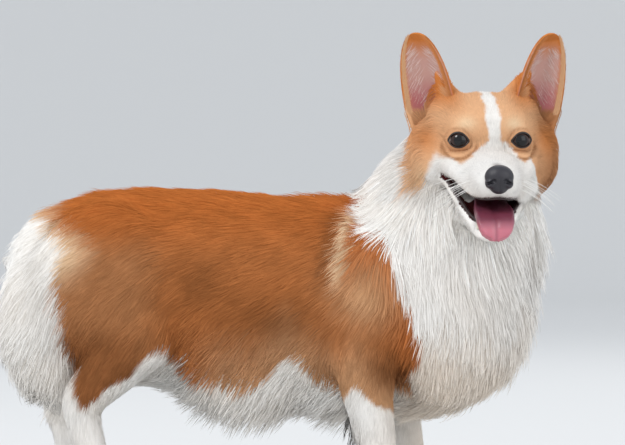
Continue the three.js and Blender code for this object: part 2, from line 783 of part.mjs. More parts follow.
const redCoat = { color: 0xb87444, roughness: 0.85, metalness: 0 };
const whiteCoat = { color: 0xebe6df, roughness: 0.9, metalness: 0 };
const leather = { color: 0x38363a, roughness: 0.45, metalness: 0 };
const darkEye = { color: 0x20140f, roughness: 0.1, metalness: 0 };
const wetPink = { color: 0xc27a86, roughness: 0.4, metalness: 0 };
const finishOf = {
  lower_jaw: whiteCoat,
  neck: whiteCoat,
  tail: whiteCoat,
  rump: whiteCoat,
  nose: leather,
  eye_left: darkEye,
  eye_right: darkEye,
  tongue: wetPink,
};
const finish = (name) => finishOf[name] ?? (/paw|shank/.test(name) ? whiteCoat : redCoat);

const corgi = new THREE.Group();
corgi.add(headFrame);
for (const [name, { made, frame }] of nodes) {
  const mesh = new THREE.Mesh(geometryOf(made), new THREE.MeshStandardMaterial(finish(name)));
  mesh.name = name;
  (frame ?? corgi).add(mesh);
}

// The origin is under the middle of the whole animal, at the floor
corgi.updateMatrixWorld(true);
const extent = new THREE.Box3().setFromObject(corgi, true);
const middle = extent.getCenter(new THREE.Vector3());
corgi.position.set(-middle.x, -middle.y, -extent.min.z);

export default corgi;
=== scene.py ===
import math

import bpy
import numpy as np
from mathutils import Euler, Matrix, Vector
from mathutils.bvhtree import BVHTree
from mathutils.kdtree import KDTree


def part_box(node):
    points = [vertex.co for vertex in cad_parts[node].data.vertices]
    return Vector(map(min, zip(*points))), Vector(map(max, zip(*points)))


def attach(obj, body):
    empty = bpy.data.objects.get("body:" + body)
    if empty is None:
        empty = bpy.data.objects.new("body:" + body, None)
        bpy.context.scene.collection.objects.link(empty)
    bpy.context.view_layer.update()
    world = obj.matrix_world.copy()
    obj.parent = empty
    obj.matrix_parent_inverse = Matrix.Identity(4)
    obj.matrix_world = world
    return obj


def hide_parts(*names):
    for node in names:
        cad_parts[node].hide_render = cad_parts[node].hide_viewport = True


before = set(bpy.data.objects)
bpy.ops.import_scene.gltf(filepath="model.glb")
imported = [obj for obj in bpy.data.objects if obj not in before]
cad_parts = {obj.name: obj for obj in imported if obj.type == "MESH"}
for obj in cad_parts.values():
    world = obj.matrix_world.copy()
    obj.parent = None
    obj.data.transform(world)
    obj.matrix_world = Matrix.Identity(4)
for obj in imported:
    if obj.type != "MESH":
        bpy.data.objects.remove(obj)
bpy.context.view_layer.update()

# The place of the dog.
# It is a grown Pembroke Welsh Corgi that stands square on level ground. All its places are measured in
# millimetres from a point on the floor under its barrel, with X the way the body faces and Y its left.

MM = 0.001
head_turn = math.radians(-77)
head_tip = math.radians(4)
eyes_from_floor_point = Vector((172, -86, 336))
eye_forward = -8.5
head_axes = Matrix.Rotation(head_turn, 4, "Z") @ Matrix.Rotation(head_tip, 4, "Y")
head_spin = np.array(head_axes.to_3x3())
head_frame = Matrix.Translation(eyes_from_floor_point) @ head_axes


def box_middle(node):
    low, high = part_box(node)
    return (low + high) / 2


eye_midpoint = (box_middle("eye_left") + box_middle("eye_right")) / 2
floor_point = eye_midpoint - (head_frame @ Vector((eye_forward, 0, 0))) * MM


def placed(points):
    """Body millimetres as metres in the part's own frame."""
    return np.asarray(points, float) * MM + np.array(floor_point)


def from_head(points):
    """Head millimetres (forward, left, up, from between the eyes) as body millimetres."""
    return np.asarray(points, float) @ head_spin.T + np.array(eyes_from_floor_point)


def to_head(points):
    return (np.asarray(points, float) - np.array(eyes_from_floor_point)) @ head_spin


# The camera.
# A long lens at the height of the dog's shoulder, on its right and a little ahead of square to it.

camera_swing = math.radians(10)
camera_distance = 2500
camera_height = 265
camera_aside = camera_distance * math.sin(camera_swing)
camera_place = placed((camera_aside, -camera_distance * math.cos(camera_swing), camera_height))
bpy.ops.object.camera_add(location=camera_place, rotation=(math.pi / 2, 0, camera_swing))
camera = bpy.context.object
camera.data.sensor_width = 36
camera.data.lens = 158.2
camera.data.clip_end = 20
bpy.context.scene.camera = camera

# The skin.
# One hide over flesh and bone, from the lips to the docked tail and down to the toes. It lies under the
# coat by the coat's own depth, and each mass below is a muscle or a bone that shows through it.


def flesh(places, radii, steps=1, turn=(0, 0, 0), head=False):
    """Overlapping rounded masses from one station to the next, in body or head millimetres."""
    places = np.asarray(places, float).reshape(-1, 3)
    radii = np.asarray(radii, float).reshape(-1, 3)
    spin = Euler([math.radians(a) for a in turn], "XYZ").to_matrix().to_4x4()
    if head:
        spin = head_axes @ spin
    last = len(places) - 1
    made = []
    for k in range(last * steps + 1):
        i = min(k // steps, max(0, last - 1))
        j = min(i + 1, last)
        part = k / steps - i
        place = places[i] * (1 - part) + places[j] * part
        size = radii[i] * (1 - part) + radii[j] * part
        bpy.ops.mesh.primitive_uv_sphere_add(
            segments=20,
            ring_count=12,
            radius=1,
            location=placed(from_head(place) if head else place),
            rotation=spin.to_euler(),
            scale=size * MM,
        )
        made.append(bpy.context.object)
    return made


def picked(*pieces):
    """These pieces alone selected, the first of them active."""
    bpy.ops.object.select_all(action="DESELECT")
    for piece in pieces:
        piece.select_set(True)
    bpy.context.view_layer.objects.active = pieces[0]


def joined(objects, name):
    """One object out of several, with its place in its mesh."""
    picked(*objects)
    if len(objects) > 1:
        bpy.ops.object.join()
    bpy.ops.object.transform_apply(location=True, rotation=True, scale=True)
    bpy.context.object.name = name
    return bpy.context.object


def finished(piece, kind, **settings):
    """A modifier put on a piece and applied to it."""
    picked(piece)
    modifier = piece.modifiers.new(kind.lower(), kind)
    for key, value in settings.items():
        setattr(modifier, key, value)
    bpy.ops.object.modifier_apply(modifier=modifier.name)
    return piece


def edited(change, **settings):
    """One operator run in edit mode on the active piece."""
    bpy.ops.object.mode_set(mode="EDIT")
    change(**settings)
    bpy.ops.object.mode_set(mode="OBJECT")


masses = []
# Barrel, loin and croup
masses += flesh(
    [(-234, 0, 207), (-200, 0, 207), (-150, 0, 206), (-90, 0, 202), (-30, 0, 195), (30, 0, 193), (85, 0, 192)],
    [(46, 58, 68), (46, 72, 81), (50, 80, 87), (50, 82, 90), (50, 84, 91), (50, 85, 91), (50, 78, 86)],
    steps=5,
)
# Neck and forechest
masses += flesh(
    [(101, 0, 196), (117, 0, 244), (132, -3, 284), (143, -5, 316)],
    [(86, 82, 64), (84, 77, 54), (74, 67, 50), (58, 53, 42)],
    steps=3,
    turn=(0, 20, 0),
)
masses += flesh([(103, 0, 198)], [(91, 83, 100)])
# Buttocks, and the docked stump of the tail
for side in (-1, 1):
    masses += flesh([(-230, 38 * side, 184)], [(42, 36, 70)], turn=(0, 8, 0))
masses += flesh([(-252, 0, 236), (-280, 0, 230)], [(14, 13, 11), (9, 9, 8)], steps=2)
# Shoulders and upper arms
for side in (-1, 1):
    masses += flesh([(66, 62 * side, 190)], [(46, 30, 72)], turn=(0, 14, 0))
    masses += flesh([(62, 68 * side, 156)], [(30, 24, 36)], turn=(0, -8, 0))
# Thighs
for side in (-1, 1):
    masses += flesh([(-172, 53 * side, 204)], [(65, 40, 80)], turn=(0, -14, 0))
    masses += flesh([(-146, 62 * side, 170)], [(33, 29, 37)], turn=(0, 20, 0))
# Forearms, pasterns and paws; the left feet stand this far ahead of the right ones
left_fore_step = 3
left_hind_step = -58
fore_paw_x, fore_leg_y, fore_paw_size = 88, 74, 1.05
hind_paw_x, hind_leg_y, hind_paw_size = -174, 69, 0.98
toe_rows = (-1.5, -0.5, 0.5, 1.5)
toe_lift = 12


def toe_reach(toe):
    """How far a toe stands ahead of its palm: the two middle ones are the longer."""
    return 25 if abs(toe) < 1 else 17


def paw(x, y, size):
    """Palm, and four toes side by side."""
    made = flesh([(x, y, 20), (x - 6, y, 12)], [(23 * size, 18 * size, 14), (14 * size, 14 * size, 10)])
    for toe in toe_rows:
        place = (x + toe_reach(toe) * size, y + toe * 11.2 * size, toe_lift)
        made += flesh([place], [(12.5 * size, 6.4 * size, 10.5)], turn=(0, 14, toe * 5))
    return made


for side, ahead in ((-1, 0), (1, left_fore_step)):
    y = fore_leg_y * side
    masses += flesh(
        np.add([(58, y, 150), (64, y, 112), (70, y, 80), (75, y, 50), (81, y, 26)], (ahead, 0, 0)),
        [(26, 21, 22), (21, 18, 20), (16.5, 15.5, 18), (15, 14.5, 16), (17, 17, 14)],
        steps=4,
    )
    masses += paw(fore_paw_x + ahead, y, fore_paw_size)
# Second thighs, hocks, rear pasterns and paws
for side, ahead, knee in ((-1, 0, -146), (1, left_hind_step, -158)):
    y = hind_leg_y * side
    masses += flesh(
        [(knee, y, 162), (knee * 0.5 - 99.5 + ahead * 0.5, y, 133), (-199 + ahead, y, 104)],
        [(30, 23, 30), (24, 18, 24), (15.5, 12, 16)],
        steps=4,
    )
    masses += flesh(
        [(-200 + ahead, y, 100), (-190 + ahead, y, 64), (-184 + ahead, y, 30)],
        [(15, 11.5, 16), (14.5, 12.5, 16), (14.5, 14, 14)],
        steps=4,
    )
    masses += paw(hind_paw_x + ahead, y, hind_paw_size)
# Skull, brow, cheeks and the roots of the ears
masses += flesh([(-50, 0, 4), (-24, 0, 12)], [(51, 51, 37.5), (28, 40, 25.5)], head=True)
for side in (-1, 1):
    masses += flesh([(-52, 27 * side, 19)], [(28, 22, 21.5)], head=True)
    masses += flesh([(-46, 34 * side, -20)], [(38, 29, 30)], turn=(0, 0, 12 * side), head=True)
    masses += flesh([(-58, 49 * side, -8)], [(19, 17, 25)], turn=(8 * side, 0, 0), head=True)
    corner = 0 if side < 0 else -5
    masses += flesh(
        [(-56, (26 + corner) * side, 34), (-57, (35 + corner) * side, 45), (-57, 40 * side, 58)],
        [(12, 9, 8), (9, 8, 8), (5, 5, 6)],
        steps=3,
        head=True,
    )
    masses += flesh([(-10, 26 * side, -20)], [(19, 13.5, 13)], head=True)
    masses += flesh([(-9, 22 * side, 11)], [(8, 13, 6)], head=True)
    masses += flesh(
        [(-30, 41 * side, -20), (-14, 38 * side, -20), (6, 31 * side, -26), (26, 23 * side, -34)],
        [(14, 9, 12), (12, 7, 8.5), (12, 7, 8), (12, 6, 8)],
        steps=2,
        head=True,
    )
    masses += flesh(
        [(-14, 37 * side, -33.5), (2, 31 * side, -46), (20, 22.5 * side - 2, -58), (36, 15.5 * side - 3, -68)],
        [(9, 4, 5), (9, 4, 6), (8, 4, 6), (7, 4, 5)],
        steps=3,
        head=True,
    )
# Upper jaw with its hanging lips
masses += flesh(
    [(-18, 0, -24), (6, 0, -25), (30, 0, -29), (50, 0, -32), (60, 0, -33)],
    [(14, 33, 18), (14, 28, 17), (12, 24, 15), (10, 21.5, 14), (8, 18, 12)],
    steps=4,
    head=True,
)
for side in (-1, 1):
    masses += flesh(
        [(24, 20 * side, -35), (40, 15 * side, -40.5), (56, 9 * side, -41)],
        [(14, 8.5, 9), (14, 9, 8.5), (9, 8, 8)],
        steps=2,
        head=True,
    )
# Lower jaw
masses += flesh(
    [(-46, 0, -50), (-18, 0, -58), (4, -1, -63), (22, -2, -71), (38, -3, -77.5), (46, -3, -79)],
    [(20, 32, 16), (16, 32, 17), (14, 28, 14), (12, 21, 10), (10, 15.5, 7.5), (7, 12, 6)],
    steps=4,
    head=True,
)

skin_voxel = 0.0029
skin = joined(masses, "skin")
finished(skin, "REMESH", mode="VOXEL", voxel_size=skin_voxel)

# The open mouth is cut from the head as a wedge that widens towards the lips
bpy.ops.mesh.primitive_cube_add(size=1)
gape = bpy.context.object
edited(bpy.ops.mesh.subdivide, number_cuts=15)
gape_reach = np.array([-18, -8, 4, 16, 28, 40, 52, 84])
gape_roof = np.array([-26.4, -29.5, -34.5, -39.8, -43.6, -46, -47.2, -46])
gape_floor = np.array([-28.2, -34, -43, -51.3, -59, -66, -72, -92])
gape_spread = np.array([38, 37, 33.5, 28.5, 23.8, 19, 14, 10])


def ramp(value, low, high):
    """0 up to low, 1 from high on, and even between them."""
    return np.clip((value - low) / (high - low), 0, 1)


def mouth_floor(forward, left):
    """The height of the lower jaw's upper side: the lip line at its edges and a trough under the tongue."""
    spread = np.interp(forward, gape_reach, gape_spread)
    trough = 5.5 * np.clip(1 - (left / np.maximum(spread - 3, 4)) ** 2, 0, 1) * ramp(forward, -8, 8)
    return np.interp(forward, gape_reach, gape_floor) - trough


for vertex in gape.data.vertices:
    x, y, z = vertex.co
    forward = gape_reach[0] + (x + 0.5) * (gape_reach[-1] - gape_reach[0])
    left = 2 * y * (np.interp(forward, gape_reach, gape_spread) + 4.5)
    top = np.interp(forward, gape_reach, gape_roof)
    bottom = float(mouth_floor(forward, left))
    vertex.co = Vector(placed(from_head((forward, left, bottom + (z + 0.5) * (top - bottom)))))
finished(skin, "BOOLEAN", operation="DIFFERENCE", solver="EXACT", object=gape)
bpy.data.objects.remove(gape)
# Full cheek fur closes the far corner of the mouth to the camera
far_cheek = flesh(
    [(38, 20.5, -45), (22, 27, -44), (4, 33, -39), (-8, 38, -38)],
    [(8, 3.0, 7), (10, 3.6, 9), (13, 4.2, 10), (14, 4.5, 10)],
    steps=3,
    head=True,
)
skin = joined([skin] + far_cheek, "skin")
finished(skin, "REMESH", mode="VOXEL", voxel_size=skin_voxel)
finished(skin, "SMOOTH", factor=0.5, iterations=5)


def design_places(mesh):
    """The places of a mesh's vertices in body millimetres."""
    co = np.empty(len(mesh.vertices) * 3)
    mesh.vertices.foreach_get("co", co)
    return (co.reshape(-1, 3) - np.array(floor_point)) / MM


def reshaped(piece, places):
    """A piece whose vertices are put at places in body millimetres."""
    piece.data.vertices.foreach_set("co", placed(places).ravel())
    piece.data.update()


def subdivided(piece, chosen, **settings):
    """A piece whose faces among the chosen vertices are cut in four."""
    edited(bpy.ops.mesh.select_all, action="DESELECT")
    piece.data.vertices.foreach_set("select", chosen)
    edited(bpy.ops.mesh.subdivide, number_cuts=1, **settings)


def relaxed(mesh, co, share, rounds):
    """Places drawn towards the middle of their neighbours, each by its share."""
    ends = np.empty(len(mesh.edges) * 2, np.int32)
    mesh.edges.foreach_get("vertices", ends)
    one, other = ends.reshape(-1, 2).T
    degree = np.bincount(ends, minlength=len(co))[:, None]
    for _ in range(rounds):
        sums = []
        for k in range(3):
            sums.append(np.bincount(one, co[other, k], len(co)) + np.bincount(other, co[one, k], len(co)))
        co = co + share[:, None] * (np.stack(sums, 1) / degree - co)
    return co


# The face is worked more finely than the rest
face_co = to_head(design_places(skin.data))
on_face = (face_co[:, 0] > -16) & (np.abs(face_co[:, 1]) < 50) & (face_co[:, 2] > -95) & (face_co[:, 2] < 26)
subdivided(skin, on_face, smoothness=0.6)

# Forehead and stop run smoothly into the skull, the ears' roots and the bridge of the muzzle
face_co = to_head(design_places(skin.data))
f, l, u = face_co.T
brow = ramp(u, 12, 22) * ramp(f, -50, -35) * ramp(-f, -2, 6) * ramp(-np.abs(l), -56, -48)
bridge = ramp(f, -22, -14) * ramp(-f, -34, -24) * ramp(-np.abs(l), -15, -9) * ramp(u, -26, -20)
face_co = relaxed(skin.data, face_co, brow, 22)
face_co = relaxed(skin.data, face_co, bridge, 30)
reshaped(skin, from_head(face_co))

# Eyelids: the skin lies over the eyeball all round it, and behind its front within the almond of the lids
eye_radius = 10.5
eye_out = math.radians(14)
eye_half_width = 9.0
eye_slant = 0.3
upper_lid_rise = 7.0
lower_lid_drop = 5.8


def facing(angle, side):
    """The way ahead, turned out by an angle."""
    return np.array((math.cos(angle), side * math.sin(angle), 0))


def athwart(angle, side):
    """The way to the left, square to facing."""
    return np.array((-side * math.sin(angle), math.cos(angle), 0))


def eye_middle(side):
    return np.array((eye_forward, 26 * side, 0.0))


def lid_edge(across, upper):
    """The height of the lid's edge over the line of the eye's corners."""
    bow = np.clip(1 - np.abs(across / eye_half_width) ** 2.2, 0, 1) ** 0.75
    return eye_slant * across / eye_half_width + (upper_lid_rise if upper else -lower_lid_drop) * bow


def eye_view(places, side):
    """Head millimetres as (outward across, up, towards the gaze) from the eyeball's middle."""
    rel = places - eye_middle(side)
    return np.stack((rel @ (athwart(eye_out, side) * side), rel[:, 2], rel @ facing(eye_out, side)), 1)


def hump(*pairs):
    """1 where each distance is nought, and less as any of them grows against its reach."""
    return np.exp(-sum((away / reach) ** 2 for away, reach in pairs))


for reach in (13, 10.8):
    face_co = to_head(design_places(skin.data))
    near_eye = np.zeros(len(face_co), bool)
    for side in (-1, 1):
        seen = eye_view(face_co, side)
        close = (np.hypot(seen[:, 0], seen[:, 1]) < reach) & (np.linalg.norm(seen, axis=1) < 24)
        near_eye |= close & (seen[:, 2] > -4)
    subdivided(skin, near_eye)
face_co = to_head(design_places(skin.data))
lid_radius = eye_radius + 1.1
for side in (-1, 1):
    seen = eye_view(face_co, side)
    flat = np.hypot(seen[:, 0], seen[:, 1])
    ahead = (seen[:, 2] > -4) & (flat < 21) & (np.linalg.norm(seen, axis=1) < 28)
    open_eye = ahead & (np.abs(seen[:, 0]) < eye_half_width)
    open_eye &= (seen[:, 1] < lid_edge(seen[:, 0], True)) & (seen[:, 1] > lid_edge(seen[:, 0], False))
    cover = np.sqrt(np.clip(lid_radius**2 - flat**2, 0.01, None))
    depth = np.where(ahead & (flat < lid_radius), np.maximum(seen[:, 2], cover), seen[:, 2])
    depth = np.where(open_eye, np.minimum(seen[:, 2], 2.5), depth)
    face_co = face_co + facing(eye_out, side) * (depth - seen[:, 2])[:, None]

# Folds: the bag under each eye, and the furrow between the brows
for side in (-1, 1):
    seen = eye_view(face_co, side)
    ring = np.hypot(seen[:, 0] / 1.12, seen[:, 1] + 1)
    under = ramp(-seen[:, 1], 0, 6) * (seen[:, 2] > -4)
    pull = -1.5 * hump((ring - 15.0, 1.7)) * under
    pull += 0.9 * hump((ring - 11.8, 1.8)) * under
    face_co[:, 0] += pull * (np.abs(seen[:, 0]) < 16)
furrow = hump((face_co[:, 1], 5)) * ramp(face_co[:, 2], 4, 14)
face_co[:, 0] -= 1.6 * furrow * (face_co[:, 0] > -40)
reshaped(skin, from_head(face_co))


# The fold of loose skin behind the shoulder stands up as a soft upright ridge
def fold_line(up):
    """How far ahead the fold lies at a height."""
    return 38 + 0.06 * (up - 240)


body_co = design_places(skin.data)
x, y, z = body_co.T
from_fold = x - fold_line(z)
ridge = hump((from_fold, 6)) - 0.55 * hump((from_fold - 12, 6))
ridge *= ramp(z, 196, 220) * ramp(-z, -292, -272)
ridge *= ramp(np.abs(y), 20, 40)
body_co[:, 1] += np.sign(y) * 3.0 * ridge
reshaped(skin, body_co)

# The ears.
# Two upright leaves of gristle and thin skin, rounded at the tip and rolled into a cup that faces forward
# and a little out. They stand on the corners of the skull, and the hide runs up over their backs.

ear_length = 69
ear_half_width = 21.8
ear_out = math.radians(20)


def ear_leaf(s, t, side):
    """A place on the ear in head millimetres: s from root to tip, t from one edge to the other."""
    s = np.asarray(s, float)
    t = np.asarray(t, float)
    root = np.array((-54, 45 * side, 24))
    tip = np.array((-60, 58.5 * side, 24 + ear_length))
    rise = np.clip(s, 0, 1)
    half = ear_half_width * np.sqrt(1 - rise**2.3) + 1.2
    half = half * np.where(s < 0, 1 + 0.55 * s, 1)
    cup = (17 * (1 - rise) ** 0.9 + 3) * np.clip(half / 15, 0, 1) ** 2
    middle = root + (tip - root) * s[..., None]
    across = athwart(ear_out, side) * (half * t)[..., None]
    return middle + across + facing(ear_out, side) * (6 - cup * (1 - t**2))[..., None]


ears = []
for side in (-1, 1):
    bpy.ops.mesh.primitive_grid_add(x_subdivisions=24, y_subdivisions=40, size=2)
    ear = bpy.context.object
    grid = np.array([v.co for v in ear.data.vertices])
    # Rows gather towards the rounded tip
    s = 1 - (1 - (grid[:, 1] + 1) / 2) ** 1.5 * 1.32
    reshaped(ear, from_head(ear_leaf(s, grid[:, 0] * -side, side)))
    ears.append(finished(ear, "SOLIDIFY", thickness=0.0026, offset=0.0))
hide_count = len(skin.data.vertices)
skin = joined([skin] + ears, "skin")

# The eyes.
# Dark brown balls, each with a black pupil behind a clear bulge of cornea, wet and very glossy.


def surface(name, colour, roughness, **more):
    """A plain material of one finish."""
    material = bpy.data.materials.new(name)
    material.use_nodes = True
    shader = material.node_tree.nodes["Principled BSDF"]
    shader.inputs["Base Color"].default_value = (*colour, 1)
    shader.inputs["Roughness"].default_value = roughness
    for key, value in more.items():
        shader.inputs[key.replace("_", " ")].default_value = value
    return material


def srgb(red, green, blue):
    """A colour as a painter names it, 0 to 255, as linear light."""
    value = np.array((red, green, blue), float) / 255
    return tuple(np.where(value <= 0.04045, value / 12.92, ((value + 0.055) / 1.055) ** 2.4))


iris = surface("eye_iris", srgb(44, 24, 16), 0.05, Specular_IOR_Level=0.4)
pupil = surface("eye_pupil", srgb(5, 5, 6), 0.04, Specular_IOR_Level=0.4)
white_of_eye = surface("eye_white", srgb(150, 130, 118), 0.1, Coat_Weight=1.0, Coat_Roughness=0.02)
for side, name in ((-1, "right"), (1, "left")):
    turned = Matrix.Rotation(eye_out * side * 0.4, 3, "Z") @ Euler((0, math.pi / 2, 0)).to_matrix()
    bpy.ops.mesh.primitive_uv_sphere_add(segments=40, ring_count=32, radius=1)
    ball = bpy.context.object
    co = np.array([v.co for v in ball.data.vertices])
    # The cornea stands a little proud of the ball over the iris
    bulge = 1 + 0.045 * np.clip((co[:, 2] - 0.72) / 0.28, 0, 1) ** 0.8
    co = co * bulge[:, None] * eye_radius
    co = co @ np.array(turned).T + eye_middle(side)
    heights = np.array([p.center.z for p in ball.data.polygons])
    for material in (iris, pupil, white_of_eye):
        ball.data.materials.append(material)
    kinds = np.where(heights > 0.90, 1, np.where(heights > 0.60, 0, 2)).astype(np.int32)
    ball.data.polygons.foreach_set("material_index", kinds)
    ball.data.vertices.foreach_set("co", placed(from_head(co)).ravel())
    bpy.ops.object.shade_smooth()
    ball.name = "eyeball_" + name
    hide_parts("eye_" + name)
    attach(ball, "root")

# The eyelid rims.
# The naked dark edge of each pair of lids, a soft cord of black skin that lies against the eyeball.


def dressed(piece, material):
    """A piece with one material, shaded smoothly."""
    picked(piece)
    piece.data.materials.clear()
    piece.data.materials.append(material)
    bpy.ops.object.shade_smooth()
    return piece


def cord(points, radii, name, material):
    """A round cord through places in body millimetres, with a radius at each, closed at its ends."""
    curve = bpy.data.curves.new(name, "CURVE")
    curve.dimensions = "3D"
    curve.bevel_depth = 1.0
    curve.bevel_resolution = 3
    curve.use_fill_caps = True
    spline = curve.splines.new("POLY")
    spline.points.add(len(points) - 1)
    for point, place, radius in zip(spline.points, placed(points), radii):
        point.co = (*place, 1)
        point.radius = radius * MM
    made = bpy.data.objects.new(name, curve)
    bpy.context.scene.collection.objects.link(made)
    picked(made)
    bpy.ops.object.convert(target="MESH")
    return dressed(bpy.context.object, material)


rim_skin = surface("lid_rim", srgb(34, 24, 20), 0.35)
for side, name in ((-1, "lid_rim_right"), (1, "lid_rim_left")):
    points, radii = [], []
    for k in range(49):
        turn = 2 * math.pi * k / 48
        across = eye_half_width * math.cos(turn)
        up = float(lid_edge(np.array(across), math.sin(turn) >= 0))
        depth = math.sqrt(max(0.1, (eye_radius + 0.7) ** 2 - across**2 - up**2))
        local = eye_middle(side) + athwart(eye_out, side) * side * across + np.array((0, 0, up))
        points.append(from_head(local + facing(eye_out, side) * depth))
        # The upper lid's edge is the heavier one, and the tear corner is drawn out towards the nose
        inner = max(0.0, -math.cos(turn))
        radii.append(0.55 + 0.35 * max(0, math.sin(turn)) + 0.35 * inner**6)
    rim = cord(points, radii, name, rim_skin)
    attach(rim, "root")

# The nose.
# A pad of bare black leather on the end of the muzzle, finely pebbled, with a comma-shaped nostril on each
# side and a groove down its middle to the lip.


def textured(material, kind, output, strength, distance, **settings):
    """Fine relief on a material, from a texture fixed to the piece's own coordinates."""
    tree = material.node_tree
    place = tree.nodes.new("ShaderNodeTexCoord")
    grain = tree.nodes.new(kind)
    bump = tree.nodes.new("ShaderNodeBump")
    for key, value in settings.items():
        grain.inputs[key].default_value = value
    bump.inputs["Strength"].default_value = strength
    bump.inputs["Distance"].default_value = distance
    tree.links.new(place.outputs["Object"], grain.inputs["Vector"])
    tree.links.new(grain.outputs[output], bump.inputs["Height"])
    tree.links.new(bump.outputs["Normal"], tree.nodes["Principled BSDF"].inputs["Normal"])


nose_leather = surface("nose_leather", srgb(38, 36, 42), 0.42)
textured(nose_leather, "ShaderNodeTexVoronoi", "Distance", 0.35, 0.0004, Scale=1100)
nose_masses = []
for place, size in (
    ((66, 0, -28), (9.2, 12.6, 10.4)),
    ((64.5, 0, -33.5), (8.8, 9.4, 9.3)),
    ((67, 7.6, -33), (7.4, 4.6, 5.2)),
    ((67, -7.6, -33), (7.4, 4.6, 5.2)),
):
    nose_masses += flesh([place], [size], head=True)
nose = joined(nose_masses, "nose_pad")
finished(nose, "REMESH", mode="VOXEL", voxel_size=0.0007)
for side in (-1, 1):
    nostril = joined(
        flesh([(75.5, 5.4 * side, -31.6)], [(4.2, 2.7, 2.5)], head=True)
        + flesh(
            [(73.5, 7.6 * side, -32.6), (71, 10.5 * side, -33.4), (69, 13 * side, -33.0)],
            [(3.6, 1.8, 1.3), (3.4, 1.8, 1.0), (3, 1.8, 0.8)],
            steps=3,
            head=True,
        ),
        "nostril",
    )
    finished(nostril, "REMESH", mode="VOXEL", voxel_size=0.0005)
    finished(nose, "BOOLEAN", operation="DIFFERENCE", solver="EXACT", object=nostril)
    bpy.data.objects.remove(nostril)
finished(nose, "REMESH", mode="VOXEL", voxel_size=0.0006)
nose_co = to_head(design_places(nose.data))
groove = hump((nose_co[:, 1], 0.9)) * ramp(-nose_co[:, 2], 27, 32)
nose_co[:, 0] -= 1.1 * groove * (nose_co[:, 0] > 64)
reshaped(nose, from_head(nose_co))
finished(nose, "SMOOTH", factor=0.5, iterations=4)
dressed(nose, nose_leather)
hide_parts("nose")
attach(nose, "root")

# The lips.
# The edge of the upper lip hangs over the mouth and that of the lower one is a thin dark cord. Both are
# bare brown-black skin that runs to the corner of the mouth.

lip_skin = surface("lip_skin", srgb(44, 28, 26), 0.4)
upper_lip = [(-16, 40.5, -26.5), (-4, 36.5, -30.5), (8, 31.5, -36), (20, 26.5, -41.5), (32, 22, -44.5)]
upper_lip += [(44, 17.5, -46.6), (54, 11.5, -47.6), (60, 5.5, -47.2), (61.5, 0, -46.6)]
lower_lip = [(-16, 40, -28.5), (-8, 36.5, -34), (2, 31.5, -41.5), (12, 27, -48.5), (22, 22.5, -55)]
lower_lip += [(32, 18, -61.5), (42, 12.5, -67), (48, 7, -70), (50.5, 0, -71)]


def through(points, count):
    """More places along a smooth line through a few."""
    points = np.asarray(points, float)
    knots = np.concatenate(([0], np.cumsum(np.linalg.norm(np.diff(points, axis=0), axis=1))))
    padded = np.concatenate(([2 * points[0] - points[1]], points, [2 * points[-1] - points[-2]]))
    out = []
    for distance in np.linspace(0, knots[-1], count):
        i = min(int(np.searchsorted(knots, distance, side="right")) - 1, len(points) - 2)
        u = (distance - knots[i]) / (knots[i + 1] - knots[i])
        a, b, c, d = padded[i : i + 4]
        start = 2 * b + (c - a) * u + (2 * a - 5 * b + 4 * c - d) * u**2
        out.append(0.5 * (start + (3 * b - a - 3 * c + d) * u**3))
    return np.array(out)


lip_places = 90
for name, half_line, thick, shift in (
    ("upper_lip_edge", np.array(upper_lip), 0.9, 0),
    ("lower_lip_edge", np.array(lower_lip), 1.5, -3),
):
    line = np.concatenate((half_line * (1, -1, 1), half_line[::-1][1:-3]))
    line[:, 1] += shift * ramp(line[:, 0], -10, 30)
    line = through(line, lip_places)
    from_end = np.minimum(np.arange(lip_places), np.arange(lip_places)[::-1])
    lip = cord(from_head(line), thick * np.clip(from_end / 8, 0.35, 1), name, lip_skin)
    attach(lip, "root")

# The tongue.
# A long soft flap of wet pink muscle, grooved along its middle, that lies on the lower jaw and curls over
# the lower teeth to hang free.

tongue_rows = 40
tongue_line = [(-6, -1, -52), (10, -1, -57), (26, -1.5, -60.5), (42, -1.5, -63)]
tongue_line += [(54, -2, -66), (60, -2, -71), (62, -2, -77.5), (62, -2, -83)]
tongue_line = through(tongue_line, tongue_rows)
half_at = [0, 0.35, 0.55, 0.7, 0.82, 0.9, 0.96, 1]
tongue_half = np.interp(np.linspace(0, 1, tongue_rows), half_at, [13, 15.5, 17, 17.4, 16.6, 14.4, 11, 5])
bpy.ops.mesh.primitive_grid_add(x_subdivisions=20, y_subdivisions=39, size=2)
tongue = bpy.context.object
grid = np.array([v.co for v in tongue.data.vertices])
row = (grid[:, 1] + 1) / 2 * 39
before = np.clip(row.astype(int), 0, 38)
part = (row - before)[:, None]
middle = tongue_line[before] * (1 - part) + tongue_line[before + 1] * part
heading = tongue_line[before + 1] - tongue_line[before]
heading /= np.linalg.norm(heading, axis=1)[:, None]
lift = np.cross(heading, (0, 1, 0))
wide = np.interp(row, np.arange(tongue_rows), tongue_half)
across = grid[:, 0]
curl = 1.6 * across**2 - 3.6 * hump((across, 0.12)) + 0.5 * hump((np.abs(across) - 0.35, 0.2))
reshaped(tongue, from_head(middle + np.array((0, 1, 0)) * (wide * across)[:, None] + lift * curl[:, None]))
finished(tongue, "SOLIDIFY", thickness=0.0062, offset=-1.0)
finished(tongue, "REMESH", mode="VOXEL", voxel_size=0.0009)
finished(tongue, "SMOOTH", factor=0.5, iterations=10)
tongue.name = "tongue_flap"
tongue_look = {"Coat_Weight": 0.2, "Coat_Roughness": 0.25, "Subsurface_Weight": 0.25}
tongue_skin = surface("tongue_skin", srgb(172, 92, 108), 0.36, **tongue_look)
tongue_shader = tongue_skin.node_tree.nodes["Principled BSDF"]
tongue_shader.inputs["Subsurface Radius"].default_value = (0.004, 0.0015, 0.001)


